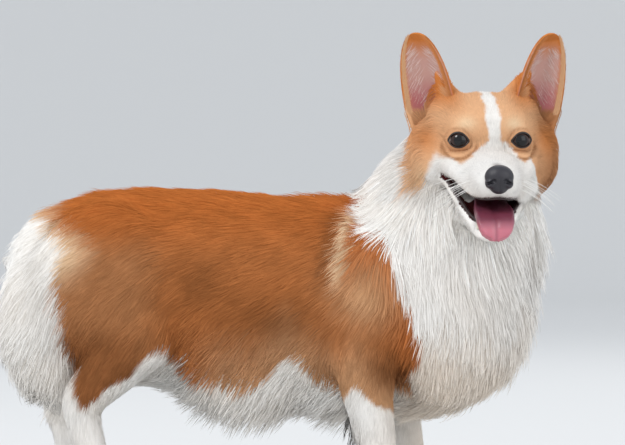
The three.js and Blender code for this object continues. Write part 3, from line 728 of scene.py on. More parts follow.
def painted(mesh, material, name, colours):
    """A colour for each vertex, and the material that takes it."""
    paint = mesh.color_attributes.new(name, "FLOAT_COLOR", "POINT")
    paint.data.foreach_set("color", np.concatenate((colours, np.ones((len(colours), 1))), 1).ravel())
    tree = material.node_tree
    if name not in tree.nodes:
        reader = tree.nodes.new("ShaderNodeAttribute")
        reader.name = reader.attribute_name = name
        tree.links.new(reader.outputs["Color"], tree.nodes["Principled BSDF"].inputs["Base Color"])


# Painted shade: the tongue is darker where it lies in the mouth and along its groove, and pink where it hangs
# out
f, l, u = to_head(design_places(tongue.data)).T
lit_share = ramp(-u, 64, 73)[:, None]
lit_share = lit_share * (1 - 0.45 * hump((l + 2, 1.4)))[:, None]
tongue_tint_and_shade = np.array(srgb(112, 52, 68)) * (1 - lit_share) + np.array(srgb(186, 104, 118)) * lit_share
painted(tongue.data, tongue_skin, "tongue_colour", tongue_tint_and_shade)
dressed(tongue, tongue_skin)
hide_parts("tongue")
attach(tongue, "root")

# The teeth.
# Ivory pegs set in the lower jaw: a canine behind small incisors in front, and cheek teeth behind it.

ivory = surface("ivory", srgb(214, 205, 186), 0.3, Coat_Weight=0.5)
teeth = []


def tooth(forward, left, up, half, height, lean):
    """A tooth: a cone rounded at its crown and swollen at its neck."""
    bpy.ops.mesh.primitive_cone_add(vertices=12, radius1=1, radius2=0.18, depth=1)
    peg = bpy.context.object
    edited(bpy.ops.mesh.bevel, offset=0.12, segments=2)
    co = np.array([v.co for v in peg.data.vertices])
    co[:, 2] += 0.5
    co = co * (half, half * 0.8, height)
    co[:, 1] += lean * co[:, 2] ** 2 / height
    reshaped(peg, from_head(co + (forward, left, up)))
    bpy.ops.object.shade_smooth()
    return peg


for side in (-1, 1):
    teeth.append(tooth(42, 11.5 * side - 3, -74, 2.4, 10.5, 0.12 * side))
    for k in range(3):
        teeth.append(tooth(47.5 - 0.6 * k, (1.6 + 3 * k) * side - 3, -75, 1.5, 5.5, 0))
    for along in (0, 0.25, 0.5, 0.75, 1):
        left = (15 + 9 * along) * side - 3 + along * 2
        up = -70.5 + 15.5 * along
        teeth.append(tooth(32 - 27 * along, left, up, 2.4 + along, 6.5 + 2 * along, 0.05 * side))
teeth = joined(teeth, "teeth")
teeth.data.materials.append(ivory)
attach(teeth, "root")

# The claws.
# Curved horn at the end of each toe, worn blunt by the ground.

horn = surface("claw_horn", srgb(96, 84, 76), 0.35)
claws = []
for x, y, size in (
    (fore_paw_x, -fore_leg_y, fore_paw_size),
    (fore_paw_x + left_fore_step, fore_leg_y, fore_paw_size),
    (hind_paw_x, -hind_leg_y, hind_paw_size),
    (hind_paw_x + left_hind_step, hind_leg_y, hind_paw_size),
):
    for toe in toe_rows:
        root = np.array((x + (toe_reach(toe) + 11) * size, y + toe * 11.4 * size, 13))
        ahead = facing(math.radians(toe * 5), 1)
        bends = ((0, 0), (3, 0.6), (6, 2.4), (8.6, 5.4), (9.8, 8.4))
        curve = [root + ahead * reach + np.array((0, 0, -drop)) for reach, drop in bends]
        claws.append(cord(curve, (2.3, 2.2, 1.8, 1.2, 0.4), "claw", horn))
claws = joined(claws, "claws")
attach(claws, "root")

# The whiskers.
# Long stiff white hairs set in rows along each side of the muzzle, sweeping out, back and a little down.

whisker_hair = surface("whisker_hair", srgb(238, 235, 230), 0.5)
whiskers = []
chance = np.random.default_rng(7)
sag = np.array((-0.45, 0, -0.35))
shares = np.linspace(0, 1, 8)
for side in (-1, 1):
    for row in range(3):
        for k in range(4):
            forward = 46 - 7 * k + chance.uniform(-1.5, 1.5)
            up = -31 - 3.6 * row + chance.uniform(-1, 1)
            start = np.array((forward, (15.5 + 3.2 * k + row) * side, up))
            reach = chance.uniform(30, 42)
            back = -0.25 + chance.uniform(-0.15, 0.15)
            out = np.array((back, side, -0.25 - 0.12 * row + chance.uniform(-0.1, 0.1)))
            out /= np.linalg.norm(out)
            line = [start + out * reach * share + sag * reach * share**2 * 0.6 for share in shares]
            whiskers.append(cord(from_head(line), np.linspace(0.24, 0.08, 8), "whisker", whisker_hair))
whiskers = joined(whiskers, "whiskers")
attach(whiskers, "root")

# The markings.
# A red dog with white on its chest, collar, legs, belly and muzzle, and a white blaze between the eyes. Hide
# and coat take their colour from the same places, with hairs of either colour mixed along each border.


def ripple(places, size, seed):
    """A smooth even variation from -1 to 1 over places, with swells of about that size."""
    draw = np.random.default_rng(seed)
    total = np.zeros(len(places))
    for _ in range(9):
        way = draw.normal(size=3)
        way /= np.linalg.norm(way)
        total += np.sin(places @ way * (2 * math.pi / size * draw.uniform(0.6, 1.5)) + draw.uniform(0, 6.28))
    return total / 4.5


def step(value, low, high):
    """A ramp that starts and ends gently."""
    part = ramp(value, low, high)
    return part * part * (3 - 2 * part)


def mixed(first, second, share):
    return first * (1 - share[:, None]) + second * share[:, None]


white_hair = np.array(srgb(250, 247, 242))
cream_hair = np.array(srgb(226, 196, 160))
back_red = np.array(srgb(184, 106, 52))
side_red = np.array(srgb(172, 106, 60))
thigh_red = np.array(srgb(168, 114, 74))
dark_red_and_shade = np.array(srgb(138, 86, 50))
# A darker red, used both for darker coat and for painted shade
belly_tan = np.array(srgb(200, 154, 114))
collar_red = np.array(srgb(186, 106, 54))
head_tan = np.array(srgb(212, 164, 124))
ear_orange = np.array(srgb(198, 122, 64))
pink_hide = np.array(srgb(190, 150, 140))
deep_pink = np.array(srgb(178, 112, 114))


def body_colour(places):
    """The colour of the coat on trunk, neck and legs."""
    x, y, z = places.T
    wander = 5 * ripple(places, 34, 3) + 2.5 * ripple(places, 11, 4)
    # The borders of the white collar, belly and rump, each by a few heights or lengths along it
    collar_z = [91, 110, 135, 153, 170, 193, 205, 226, 241, 257, 296]
    collar = np.interp(z, collar_z, [98, 100, 100, 110, 110, 102, 93, 90, 76, 55, 38])
    belly_x = [-196, -150, -121, -105, -95, -70, -40, -25, -10, 4, 22, 41, 50, 58, 92, 110]
    low = np.interp(x, belly_x, [98, 130, 150, 135, 120, 118, 118, 130, 146, 133, 118, 110, 118, 118, 91, 95])
    rump_z = [98, 118, 169, 214, 238, 250, 258, 275]
    rump = np.interp(z, rump_z, [-196, -209, -220, -224, -212, -220, -235, -262])
    from_fold = x - fold_line(z)
    upright = step(z, 196, 220) * step(-z, -284, -262)
    red = side_red + np.zeros((len(x), 3))
    for colour, share in (
        (back_red, step(z, 225, 285)),
        (thigh_red, step(-x, 105, 150) * step(-z, -262, -225)),
        # Painted shade low on the rear of the thigh
        (dark_red_and_shade, step(-x, 115, 160) * step(-z, -185, -150) * 0.8),
        (belly_tan, step(low - z, -62, -10) * step(x, -110, -60) * 0.85),
        (collar_red, step(x - collar, -42, -8) * step(z, 120, 180) * 0.75),
        # Painted highlight down the crest of the fold behind the shoulder, painted shade in the crease behind
        # it, and a deeper red band ahead of it
        (cream_hair, hump((from_fold, 5)) * upright),
        (dark_red_and_shade * 0.8, hump((from_fold + 13, 5)) * upright * 0.8),
        (collar_red, hump((from_fold - 13, 5)) * upright * 0.6),
        (belly_tan, hump((x - 64, 30), (z - 200, 28)) * 0.95),
        (dark_red_and_shade * 0.55, hump((x + 88, 30), (z - 212, 22)) * 0.5),
        # Painted shade low on the barrel and on the upper foreleg under the chest
        (dark_red_and_shade * 0.8, hump((x + 20, 46), (z - 176, 22)) * 0.7),
        (dark_red_and_shade * 0.8, hump((x - 82, 22), (z - 136, 20)) * 0.8),
    ):
        red = mixed(red, colour, share)
    red = 0.9 * red * (1 + 0.10 * ripple(places, 26, 12) + 0.1 * ripple(places, 9, 13))[:, None]
    red = mixed(red, cream_hair, step(rump - x, -44, 2) * step(z, 196, 232) * 0.85)
    whiteness = np.maximum.reduce(
        [
            step(x - collar + wander, -2.5, 2.5),
            step(low - z + wander * 0.8, -2.5, 2.5),
            step(rump - x + wander, -8, 5),
            step(-np.abs(y), -50, -40) * step(-z, -155, -140),
            step(-z, -100, -92),
        ]
    )
    # Painted shade on the white: darker low down than high on the body, and creamier and greyer low on the
    # chest, over a random cream tint
    cream_and_shade = 0.06 + 0.06 * ripple(places, 60, 8) + 0.3 * step(-z, -185, -120) * step(x, 60, 100)
    lit_share = 0.82 + 0.1 * step(z, 190, 260)
    shade = mixed(white_hair * lit_share[:, None], cream_hair * 0.9, cream_and_shade)
    return mixed(red, shade, whiteness)


def head_colour(places):
    """The colour of the coat on the head, from places in head millimetres."""
    f, l, u = places.T
    out = np.abs(l)
    wander = 2.2 * ripple(places, 22, 5) + 1.0 * ripple(places, 6, 6)
    tan = head_tan + np.zeros((len(f), 3))
    tan = mixed(tan, ear_orange, step(u, 18, 44) * step(out, 14, 34))
    for side in (-1, 1):
        seen = eye_view(places, side)
        ring = np.hypot(seen[:, 0], seen[:, 1])
        tan = mixed(tan, cream_hair, hump((seen[:, 0] + 7, 8), (seen[:, 1] - 15, 5.5)) * 0.85 * (f > -40))
        tan = mixed(tan, dark_red_and_shade, step(-ring, -13, -9) * 0.35 * (f > -30))
        # Painted shade in the crease under each eye
        crease_shade = hump((np.hypot(seen[:, 0] / 1.12, seen[:, 1] + 1) - 14.6, 1.1)) * step(-seen[:, 1], 1, 6)
        tan = mixed(tan, dark_red_and_shade, crease_shade * 0.6 * (f > -30))
    # Painted shade over the far cheek
    tan = mixed(tan, dark_red_and_shade, step(l, 34, 58) * 0.7)
    tan = mixed(tan, ear_orange * 0.85, hump((out - 54, 12), (u - 1, 14)) * 0.75)
    tan = mixed(tan, cream_hair, hump((l + 58, 10), (u + 36, 12)) * 0.6)
    # The middle and half width of the blaze, and the height of the white on the near and the far cheek
    blaze = np.interp(u, [-14, 0, 20, 40], [3, 4, 2.5, 1])
    half = np.interp(u, [-22, -14, -6, 0, 20, 40, 52], [34, 17, 9.5, 5.8, 5.8, 5.4, 5])
    near = np.interp(out, [9, 23, 38.6, 46.4, 52.5, 56.9, 58.6, 62], [-6, -21, -14, -13, -25, -38, -47, -49])
    far = np.interp(out, [14, 27, 35, 39, 43, 48, 60], [-2, -18, -16, -24, -40, -50, -54])
    edge = np.where(l < 0, near, far)
    edge = np.maximum(edge, np.interp(f, [-108, -78], [0, -52]))
    whiteness = np.maximum.reduce(
        [
            step(edge - u + wander, -2 - 5 * step(out, 36, 50), 2 + 5 * step(out, 36, 50)),
            step(half - np.abs(l - blaze) + 0.6 * wander, -1.2, 1.2) * step(f, -82, -70),
            step(f, 8, 18),
            step(-l - np.interp(f, [-100, -60, -30], [58, 70, 78]) + wander, -3, 3),
        ]
    )
    shade = mixed(white_hair * 0.78 + np.zeros((len(f), 3)), cream_hair, 0.06 + 0.06 * ripple(places, 40, 9))
    colour = mixed(tan, shade, whiteness)
    freckle = hump((f - 52, 7), (l, 4), (u + 17, 5))
    return mixed(colour, np.array(srgb(120, 112, 110)), 0.75 * freckle)


def on_head(places):
    """Which places in body millimetres are on the head and not the neck."""
    f, l, u = to_head(places).T
    return (f > -112) & (np.abs(l) < 92) & (u > -56) & (places[:, 2] > 262)


def coat_colour(places):
    """The colour of the coat at places in body millimetres."""
    return np.where(on_head(places)[:, None], head_colour(to_head(places)), body_colour(places))


def between_lids(seen, above, below, aside):
    """Which places, as seen by the eye, lie in the opening of the lids or within these margins of it."""
    across = np.clip(seen[:, 0], -8.9, 8.9)
    opening = (seen[:, 1] < lid_edge(across, True) + above) & (seen[:, 1] > lid_edge(across, False) - below)
    return opening & (np.abs(seen[:, 0]) < eye_half_width + aside) & (seen[:, 2] > 0)


skin_co = design_places(skin.data)
colour = coat_colour(skin_co)
head_co = to_head(skin_co)
f, l, u = head_co.T

# The lining of the mouth is dark and wet, and the lids are black round the eye
roof = np.interp(f, gape_reach, gape_roof)
spread = np.interp(f, gape_reach, gape_spread)
lining = (u < roof + 1.4) & (u > mouth_floor(f, l) - 3.2 + 2 * (np.abs(l) > spread - 3)) & (f > -19) & (f < 66)
skin_normals = np.empty(len(skin.data.vertices) * 3)
skin.data.vertices.foreach_get("normal", skin_normals)
turned_ahead, turned_left, _ = (skin_normals.reshape(-1, 3) @ head_spin).T
lining &= (l < 12) | (l < spread - 5) | (turned_left < -0.35)
lining &= np.abs(l) < spread + 5
lining = lining.astype(float)
colour = mixed(colour, np.array(srgb(62, 26, 26)), lining)
for side in (-1, 1):
    seen = eye_view(head_co, side)
    rim = between_lids(seen, 1.0, 0.8, 0.8) & (np.linalg.norm(seen, axis=1) < 16)
    colour = mixed(colour, np.array(srgb(38, 26, 22)), rim.astype(float))

# The ears are orange outside and pink within
on_ear = np.arange(len(u)) >= hide_count
s_ear = (u - 24) / ear_length
mid_ear = 45 + 13.5 * s_ear
half_ear = ear_half_width * np.sqrt(1 - np.clip(s_ear, 0, 0.99) ** 2.3) + 1.2
t_ear = np.abs(np.abs(l) - mid_ear) / half_ear
inner = step(turned_ahead, 0.2, 0.5) * on_ear * step(-s_ear, -0.95, -0.62) * step(s_ear, -0.04, 0.06)
inner = inner * step(-t_ear, -0.9, -0.7)
colour = mixed(colour, ear_orange, on_ear * step(s_ear, 0.0, 0.25))
colour = mixed(colour, mixed(pink_hide + np.zeros((len(f), 3)), deep_pink, step(-s_ear, -0.5, -0.1)), inner)

hide = surface("hide", (0.5, 0.4, 0.3), 0.8, Specular_IOR_Level=0.0)
painted(skin.data, hide, "hide_colour", colour)
textured(hide, "ShaderNodeTexNoise", "Fac", 0.5, 0.0008, Scale=620, Detail=3)
dressed(skin, hide)
legs = [
    f"{leg}_{side}_{part}"
    for leg, upper in (("foreleg", ("shoulder", "forearm")), ("hindleg", ("thigh", "shank")))
    for side in ("right", "left")
    for part in (*upper, "paw")
]
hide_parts("head", "lower_jaw", "ear_left", "ear_right", "neck", "torso", "rump", "tail", *legs)
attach(skin, "root")

# The coat.
# A dense medium-length coat that lies back along the body: short on the face, ears and legs, long in the
# ruff, breeches and belly fringe. Each hair tuft is a thin closed blade rooted in the hide.

# Where on the body, which way the coat lies there, its length, and how far it stands off; both flanks alike
middle_lie = [
    ((60, 0, 292), (-1, 0, -0.05), 27, 0.42),
    ((-60, 0, 295), (-1, 0, 0), 23, 0.26),
    ((-190, 0, 288), (-1, 0, -0.15), 25, 0.42),
    ((-245, 0, 268), (-0.8, 0, -0.6), 30, 0.32),
    ((-275, 0, 190), (-0.2, 0, -1), 44, 0.3),
    ((-285, 0, 236), (-0.6, 0, -0.9), 26, 0.25),
    ((-50, 0, 98), (-0.4, 0, -0.9), 44, 0.6),
    ((60, 0, 90), (-0.4, 0, -0.9), 42, 0.55),
    ((-150, 0, 118), (-0.7, 0, -0.6), 28, 0.3),
    ((95, 0, 320), (-0.85, 0, -0.5), 30, 0.2),
    ((195, 0, 270), (0.15, 0, -1), 46, 0.36),
    ((195, 0, 200), (0.05, 0, -1), 46, 0.28),
    ((150, 0, 120), (-0.3, 0, -0.95), 40, 0.22),
    ((100, 0, 98), (-0.8, 0, -0.5), 40, 0.35),
]
flank_lie = [
    ((-50, 85, 255), (-0.95, 0, -0.25), 24, 0.12),
    ((-50, 90, 220), (-0.87, 0, -0.45), 26, 0.14),
    ((-50, 85, 140), (-0.6, 0, -0.8), 34, 0.22),
    ((-50, 60, 108), (-0.4, 0, -0.9), 44, 0.5),
    ((40, 60, 100), (-0.4, 0, -0.9), 42, 0.5),
    ((30, 90, 200), (-0.8, 0, -0.55), 24, 0.14),
    ((75, 92, 200), (-0.6, 0, -0.8), 26, 0.16),
    ((62, 92, 150), (-0.35, 0, -0.95), 16, 0.14),
    ((-175, 98, 220), (-0.8, 0, -0.6), 25, 0.14),
    ((-160, 95, 160), (-0.6, 0, -0.8), 24, 0.15),
    ((-240, 60, 200), (-0.5, 0, -0.85), 44, 0.28),
    ((-235, 50, 130), (-0.3, 0, -0.95), 48, 0.3),
    ((125, 70, 280), (0.2, 0, -0.97), 42, 0.25),
    ((95, 78, 220), (0.1, 0, -1), 44, 0.25),
    ((165, 60, 240), (0.2, 0, -0.97), 46, 0.28),
    ((150, 70, 160), (-0.1, 0, -1), 44, 0.28),
    ((68, 76, 105), (-0.1, 0, -1), 9, 0.12),
    ((75, 76, 60), (0, 0, -1), 7, 0.12),
    ((42, 76, 110), (-0.5, 0, -0.85), 16, 0.25),
    ((90, 74, 24), (0.8, 0, -0.6), 6, 0.12),
    ((110, 74, 18), (0.8, 0, -0.6), 5, 0.12),
    ((-150, 85, 128), (-0.5, 0, -0.85), 15, 0.14),
    ((-215, 70, 105), (-0.2, 0, -1), 14, 0.2),
    ((-190, 70, 60), (0, 0, -1), 9, 0.12),
    ((-165, 70, 20), (0.8, 0, -0.6), 6, 0.12),
]
face_lie = [
    ((55, 0, -19), (-1, 0, 0.1), 4, 0.1),
    ((20, 12, -14), (-1, 0.1, 0.15), 5, 0.1),
    ((40, 24, -32), (-0.9, 0.1, -0.35), 5, 0.12),
    ((58, 12, -44), (-0.6, 0.3, -0.7), 5, 0.2),
    ((18, 28, -36), (-0.9, 0.1, -0.4), 5, 0.12),
    ((5, 6, -4), (-0.7, 0, 0.7), 6, 0.1),
    ((-10, 0, 24), (-0.7, 0, 0.7), 8, 0.1),
    ((-50, 10, 43), (-1, 0, 0), 10, 0.12),
    ((-5, 22, 15), (-0.3, 0.5, 0.8), 7, 0.12),
    ((-4, 28, -18), (-0.7, 0.5, -0.4), 6, 0.12),
    ((-12, 42, 0), (-0.8, 0.4, 0.1), 8, 0.12),
    ((-35, 60, -18), (-0.75, 0.1, -0.7), 18, 0.22),
    ((-8, 40, -28), (-0.8, 0.2, -0.3), 5, 0.1),
    ((-40, 52, -46), (-0.5, 0.1, -0.9), 25, 0.3),
    ((20, 20, -72), (-0.9, 0, -0.3), 10, 0.2),
    ((-10, 32, -66), (-0.7, 0, -0.6), 20, 0.25),
    ((45, 0, -82), (-0.9, 0, -0.2), 7, 0.15),
    ((-20, 0, -75), (-0.6, 0, -0.8), 28, 0.25),
    ((-95, 20, 5), (-0.6, 0, -0.8), 24, 0.18),
    ((-50, 62, 12), (-0.7, 0.2, -0.5), 15, 0.2),
    ((-80, 50, 20), (-0.6, 0.1, -0.7), 16, 0.18),
    ((-70, 70, -30), (-0.6, 0, -0.8), 28, 0.25),
]
anchors = list(middle_lie)
for place, lie, length, lift in flank_lie:
    anchors.append((np.multiply(place, (1, -1, 1)), lie, length, lift))
    shift = left_hind_step if place[0] < -120 and place[2] < 130 else 0
    anchors.append((np.add(place, (shift, 0, 0)), lie, length, lift))
for place, lie, length, lift in face_lie:
    for mirror in ((1, -1, 1), (1, 1, 1)) if place[1] else ((1, 1, 1),):
        way = head_spin @ np.multiply(lie, mirror)
        anchors.append((from_head(np.multiply(place, mirror)), way, length, lift))
# The fluff of the far cheek hangs over that corner of the mouth
for place in ((30, 26, -46), (8, 34, -42), (-10, 40, -40)):
    anchors.append((from_head(place), head_spin @ np.array((-0.4, 0.05, -0.9)), 11, 0.2))
anchor_place = np.array([a[0] for a in anchors], float)
anchor_lie = np.array([np.array(a[1], float) / np.linalg.norm(a[1]) for a in anchors])
anchor_length = np.array([a[2] for a in anchors], float)
anchor_lift = np.array([a[3] for a in anchors], float)


def groomed(places):
    """The lie, length and lift of the coat at places, blended from the nearest anchors."""
    lies, lengths, lifts = [], [], []
    for start in range(0, len(places), 20000):
        part = places[start : start + 20000]
        away = ((part[:, None, :] - anchor_place[None]) ** 2).sum(2) + 9
        weight = away**-2.2
        weight /= weight.sum(1, keepdims=True)
        lies.append(weight @ anchor_lie)
        lengths.append(weight @ anchor_length)
        lifts.append(weight @ anchor_lift)
    return np.concatenate(lies), np.concatenate(lengths), np.concatenate(lifts)


def unit(rows):
    return rows / np.maximum(np.linalg.norm(rows, axis=1, keepdims=True), 1e-9)


# Roots are spread over the hide by area, closer together where the coat is short
skin.data.calc_loop_triangles()
corners = np.empty(len(skin.data.loop_triangles) * 3, np.int32)
skin.data.loop_triangles.foreach_get("vertices", corners)
corners = corners.reshape(-1, 3)
skin_co = design_places(skin.data)
a, b, c = (skin_co[corners[:, k]] for k in range(3))
area = np.linalg.norm(np.cross(b - a, c - a), axis=1) / 2
middle = (a + b + c) / 3
_, tri_length, _ = groomed(middle)
local = to_head(middle)
cover = 1.8 + 0.03 * tri_length + 2.5 * step(tri_length, 28, 42)
density = cover / (0.5 * (0.50 + 0.009 * tri_length) * tri_length)

# No hair grows in the mouth, on the eyes, the nose pad, the ear leaves or the soles
bare = (local[:, 2] > 27) & (np.abs(local[:, 1]) > 22) & (np.linalg.norm(local - (-50, 0, 4), axis=1) > 62)
bare |= (lining[corners].max(1) > 0) | (middle[:, 2] < 3)
for side in (-1, 1):
    seen = eye_view(local, side)
    bare |= between_lids(seen, 1.4, 1.2, 1.2) & (np.linalg.norm(seen, axis=1) < 17)
bare |= np.linalg.norm((local - (66, 0, -30)) / (10.2, 13, 11.2), axis=1) < 1
low_leg = (middle[:, 2] < 118) & (np.abs(middle[:, 1]) > 48) & ((middle[:, 0] < -120) | (middle[:, 0] > 30))
density[low_leg] *= 0.6
density[bare] = 0
draw = np.random.default_rng(41)
wanted = area * density
count = np.floor(wanted + draw.random(len(wanted))).astype(int)
pick = np.repeat(np.arange(len(count)), count)
r1, r2 = np.sqrt(draw.random(len(pick))), draw.random(len(pick))
root = a[pick] * (1 - r1)[:, None] + b[pick] * (r1 * (1 - r2))[:, None] + c[pick] * (r1 * r2)[:, None]
normal = unit(np.cross(b - a, c - a))[pick]
lie, length, lift = groomed(root)
flatness = 0.7 * step(length, 20, 34) + 0.2
lift = lift * (0.8 + 0.45 * step(length, 26, 42)) * draw.uniform(0.35, 1.0, len(root)) ** flatness

# Strands wander together in locks and a little each on its own
swing = 0.16 * ripple(root, 30, 21) + 0.08 * ripple(root, 10, 22) + draw.normal(0, 0.07, len(root))
swing = swing * np.clip(length / 22, 0.4, 1.3)
hang = np.clip(2.2 * (lift - 0.3), 0, 0.9)[:, None]
free_lie = unit(lie)
lie = unit(lie - normal * (lie * normal).sum(1, keepdims=True))
lie = unit(lie * (1 - hang) + free_lie * hang)
lie = unit(lie * np.cos(swing)[:, None] + np.cross(normal, lie) * np.sin(swing)[:, None])
length = length * (1 + 0.12 * ripple(root, 30, 23) + draw.uniform(-0.22, 0.14, len(root)))
unevenness = 0.12 + 0.18 * step(length, 28, 42)
lift = lift * (1 + unevenness * ripple(root, 14, 24)) + draw.uniform(-0.01, 0.03, len(root))
lift = np.clip(lift, 0.02, 0.8)

hide_tree = BVHTree.FromPolygons(skin_co.tolist(), corners.tolist(), all_triangles=True)


def over_hide(places, height, free):
    """Places brought to a height over the hide, or left part way free of it."""
    out = np.empty_like(places)
    for k, place in enumerate(places.tolist()):
        near, facing_out, _, _ = hide_tree.find_nearest(place)
        out[k] = [near[i] + facing_out[i] * height[k] for i in range(3)]
    free = free[:, None]
    return out * (1 - free) + places * free


middle_point = over_hide(root + lie * (length * 0.5)[:, None], 0.35 + length * lift * 0.6, hang[:, 0] * 0.9)
droop = np.array((0, 0, -0.25)) * step(length, 26, 44)[:, None]
onward = unit(unit(middle_point - root) * 0.8 + lie * 0.4 + droop)
tip = over_hide(middle_point + onward * (length * 0.5)[:, None], 0.15 + length * lift, hang[:, 0])

# Long hair gathers into locks: every blade leans to the tip of the nearest lock
long_hair = np.flatnonzero(length > 22)
leaders = long_hair[draw.random(len(long_hair)) < 0.09]
lock_tree = KDTree(len(leaders))
for k, row in enumerate(root[leaders].tolist()):
    lock_tree.insert(row, k)
lock_tree.balance()
lead = leaders[[lock_tree.find(row)[1] for row in root[long_hair].tolist()]]
pull = 0.2 * step(length[long_hair], 22, 44)[:, None]
gap_to_leader = root[lead] - root[long_hair]
tip[long_hair] += gap_to_leader * pull * 1.3
middle_point[long_hair] += gap_to_leader * pull * 0.4

# Colour by root place, each blade a shade lighter or darker at random, paler at its tip and darker at its
# root, which is painted shade deep in the coat
blade_colour = coat_colour(root * 0.45 + tip * 0.55)
rough_tone = np.where(np.linalg.norm(root - np.array(from_head((-30, 0, -10))), axis=1) < 95, 0.10, 0.06)
shade = 1 + 0.05 * ripple(root, 9, 31) + draw.normal(0, 1, len(root)) * rough_tone
blade_colour = np.clip(blade_colour * shade[:, None], 0.005, 0.95)

# Ears: short dense fur on the back, a pale brush round the rim, fine pale hair across the cup, and a thick
# tuft where the front edge meets the forehead


def ear_frame(s, t, side):
    """Places on an ear with the way to its tip, the way across it and the way its cup faces."""
    here = ear_leaf(s, t, side)
    upward = unit(ear_leaf(np.clip(s + 0.02, -1, 1), t, side) - ear_leaf(np.clip(s - 0.02, -1, 0.98), t, side))
    sideways = unit(ear_leaf(s, t + 0.02, side) - ear_leaf(s, t - 0.02, side))
    outward = unit(np.cross(upward, sideways))
    outward *= np.sign(outward[:, :1])
    return here, upward, sideways, outward


ear_hairs = {"back": 7000, "cup": 4200, "cross": 800, "rim": 4600, "tuft": 1800, "crown": 900}
ear_rows = []
for side in (-1, 1):
    for kind, count_of in ear_hairs.items():
        s = draw.random(count_of) * 0.94
        t = draw.uniform(-1, 1, count_of)
        if kind == "cross":
            s, t = s * 0.8, np.sign(t) * draw.uniform(0.45, 0.98, count_of)
        if kind == "rim":
            s, t = s * 1.08 - 0.08, np.sign(t) * draw.uniform(0.88, 1.0, count_of)
        if kind == "crown":
            s, t = draw.uniform(0.88, 0.96, count_of), t * 0.9
        if kind == "tuft":
            s, t = s * 0.36 - 0.1, -side * draw.uniform(0.8, 1.0, count_of)
        here, upward, sideways, outward = ear_frame(s, t, side)
        inward = -sideways * np.sign(t)[:, None]
        jitter = draw.normal(0, 0.12, (count_of, 3))
        tone = ear_orange * np.ones((count_of, 3))
        if kind == "back":
            face = unit(-outward + sideways * np.sign(t)[:, None] * (2.2 * step(np.abs(t), 0.7, 1.0))[:, None])
            way, long = upward, 5.5 - 1.5 * s
            tone = mixed(tone, dark_red_and_shade, step(s, 0.6, 1.0) * 0.3)
        elif kind == "cup":
            face, way, long = outward, upward * 0.6 + inward * 0.5, 4.2 + 0 * s
            edge_share = np.maximum(step(np.abs(t), 0.6, 0.9), step(s, 0.5, 0.92))
            tone = mixed(mixed(pink_hide + 0 * tone, deep_pink, step(-s, -0.45, -0.1)), ear_orange, edge_share)
        elif kind == "cross":
            face, way, long = outward, inward * 0.7 + upward, draw.uniform(8, 13, count_of)
            tone = mixed(pink_hide + 0 * tone, white_hair, np.full(count_of, 0.3))
        elif kind == "crown":
            face, way, long = outward, upward, draw.uniform(3, 5, count_of)
        elif kind == "rim":
            face, way, long = outward, upward + 0.3 * outward - inward * 0.25, 6.0 + 0 * s
            # The rim hair is slightly paler all round, and much paler on one edge: a painted backlit highlight
            tone = mixed(tone, cream_hair, np.where(t * side > 0, 0.55, 0.1))
        else:
            face, way = outward, upward * 0.9 + inward * 0.1 + outward * 0.35
            long = draw.uniform(6, 12, count_of)
            tone = mixed(tone, head_tan, 0.3 + draw.random(count_of) * 0.5)
        way = unit(unit(way) + jitter)
        long = long * draw.uniform(0.75, 1.15, count_of)
        start_at = here + face * 0.9
        rise = 0.12 if kind in ("back", "cup", "cross") else 0.25
        mid = start_at + way * (long * 0.5)[:, None] + face * (long * rise)[:, None]
        end = start_at + way * long[:, None] + face * (long * rise * 1.3)[:, None]
        lit = face if kind == "back" else unit(outward + 1.3 * facing(ear_out, side))
        ear_rows.append((from_head(start_at), from_head(mid), from_head(end), lit @ head_spin.T, long, tone))
ear_rows = [np.concatenate(rows) for rows in zip(*ear_rows)]
ear_root, ear_middle, ear_tip, ear_normal, ear_hair, ear_colour = ear_rows
ear_tone = 1 + draw.normal(0, 0.07, len(ear_hair))
hide_roots = len(root)
root = np.concatenate((root, ear_root))
middle_point = np.concatenate((middle_point, ear_middle))
tip = np.concatenate((tip, ear_tip))
normal = np.concatenate((normal, ear_normal))
length = np.concatenate((length, ear_hair))
blade_colour = np.concatenate((blade_colour, np.clip(ear_colour * ear_tone[:, None], 0.005, 0.92)))
of_ear = np.arange(len(root)) >= hide_roots
of_head = on_head(root) & ~of_ear
head_place = to_head(root)
blade_share = draw.uniform(0.75, 1.25, len(root)) * np.where(of_ear, 0.6, 1.0)


def unwrapped(places, axis, centre):
    """Where each root lies in a cylindrical unwrap of the hide round its piece's own axis."""
    rel = places - centre
    if axis == "head":
        rel = rel @ head_spin
    if axis == "z":
        angle, along = np.arctan2(rel[:, 1], rel[:, 0]), rel[:, 2]
    else:
        angle, along = np.arctan2(rel[:, 1], rel[:, 2]), rel[:, 0]
    up = 0.01 + 0.98 * (along - along.min()) / (np.ptp(along) + 1e-6)
    return np.stack((0.01 + 0.98 * (angle / (2 * math.pi) + 0.5), up), 1)


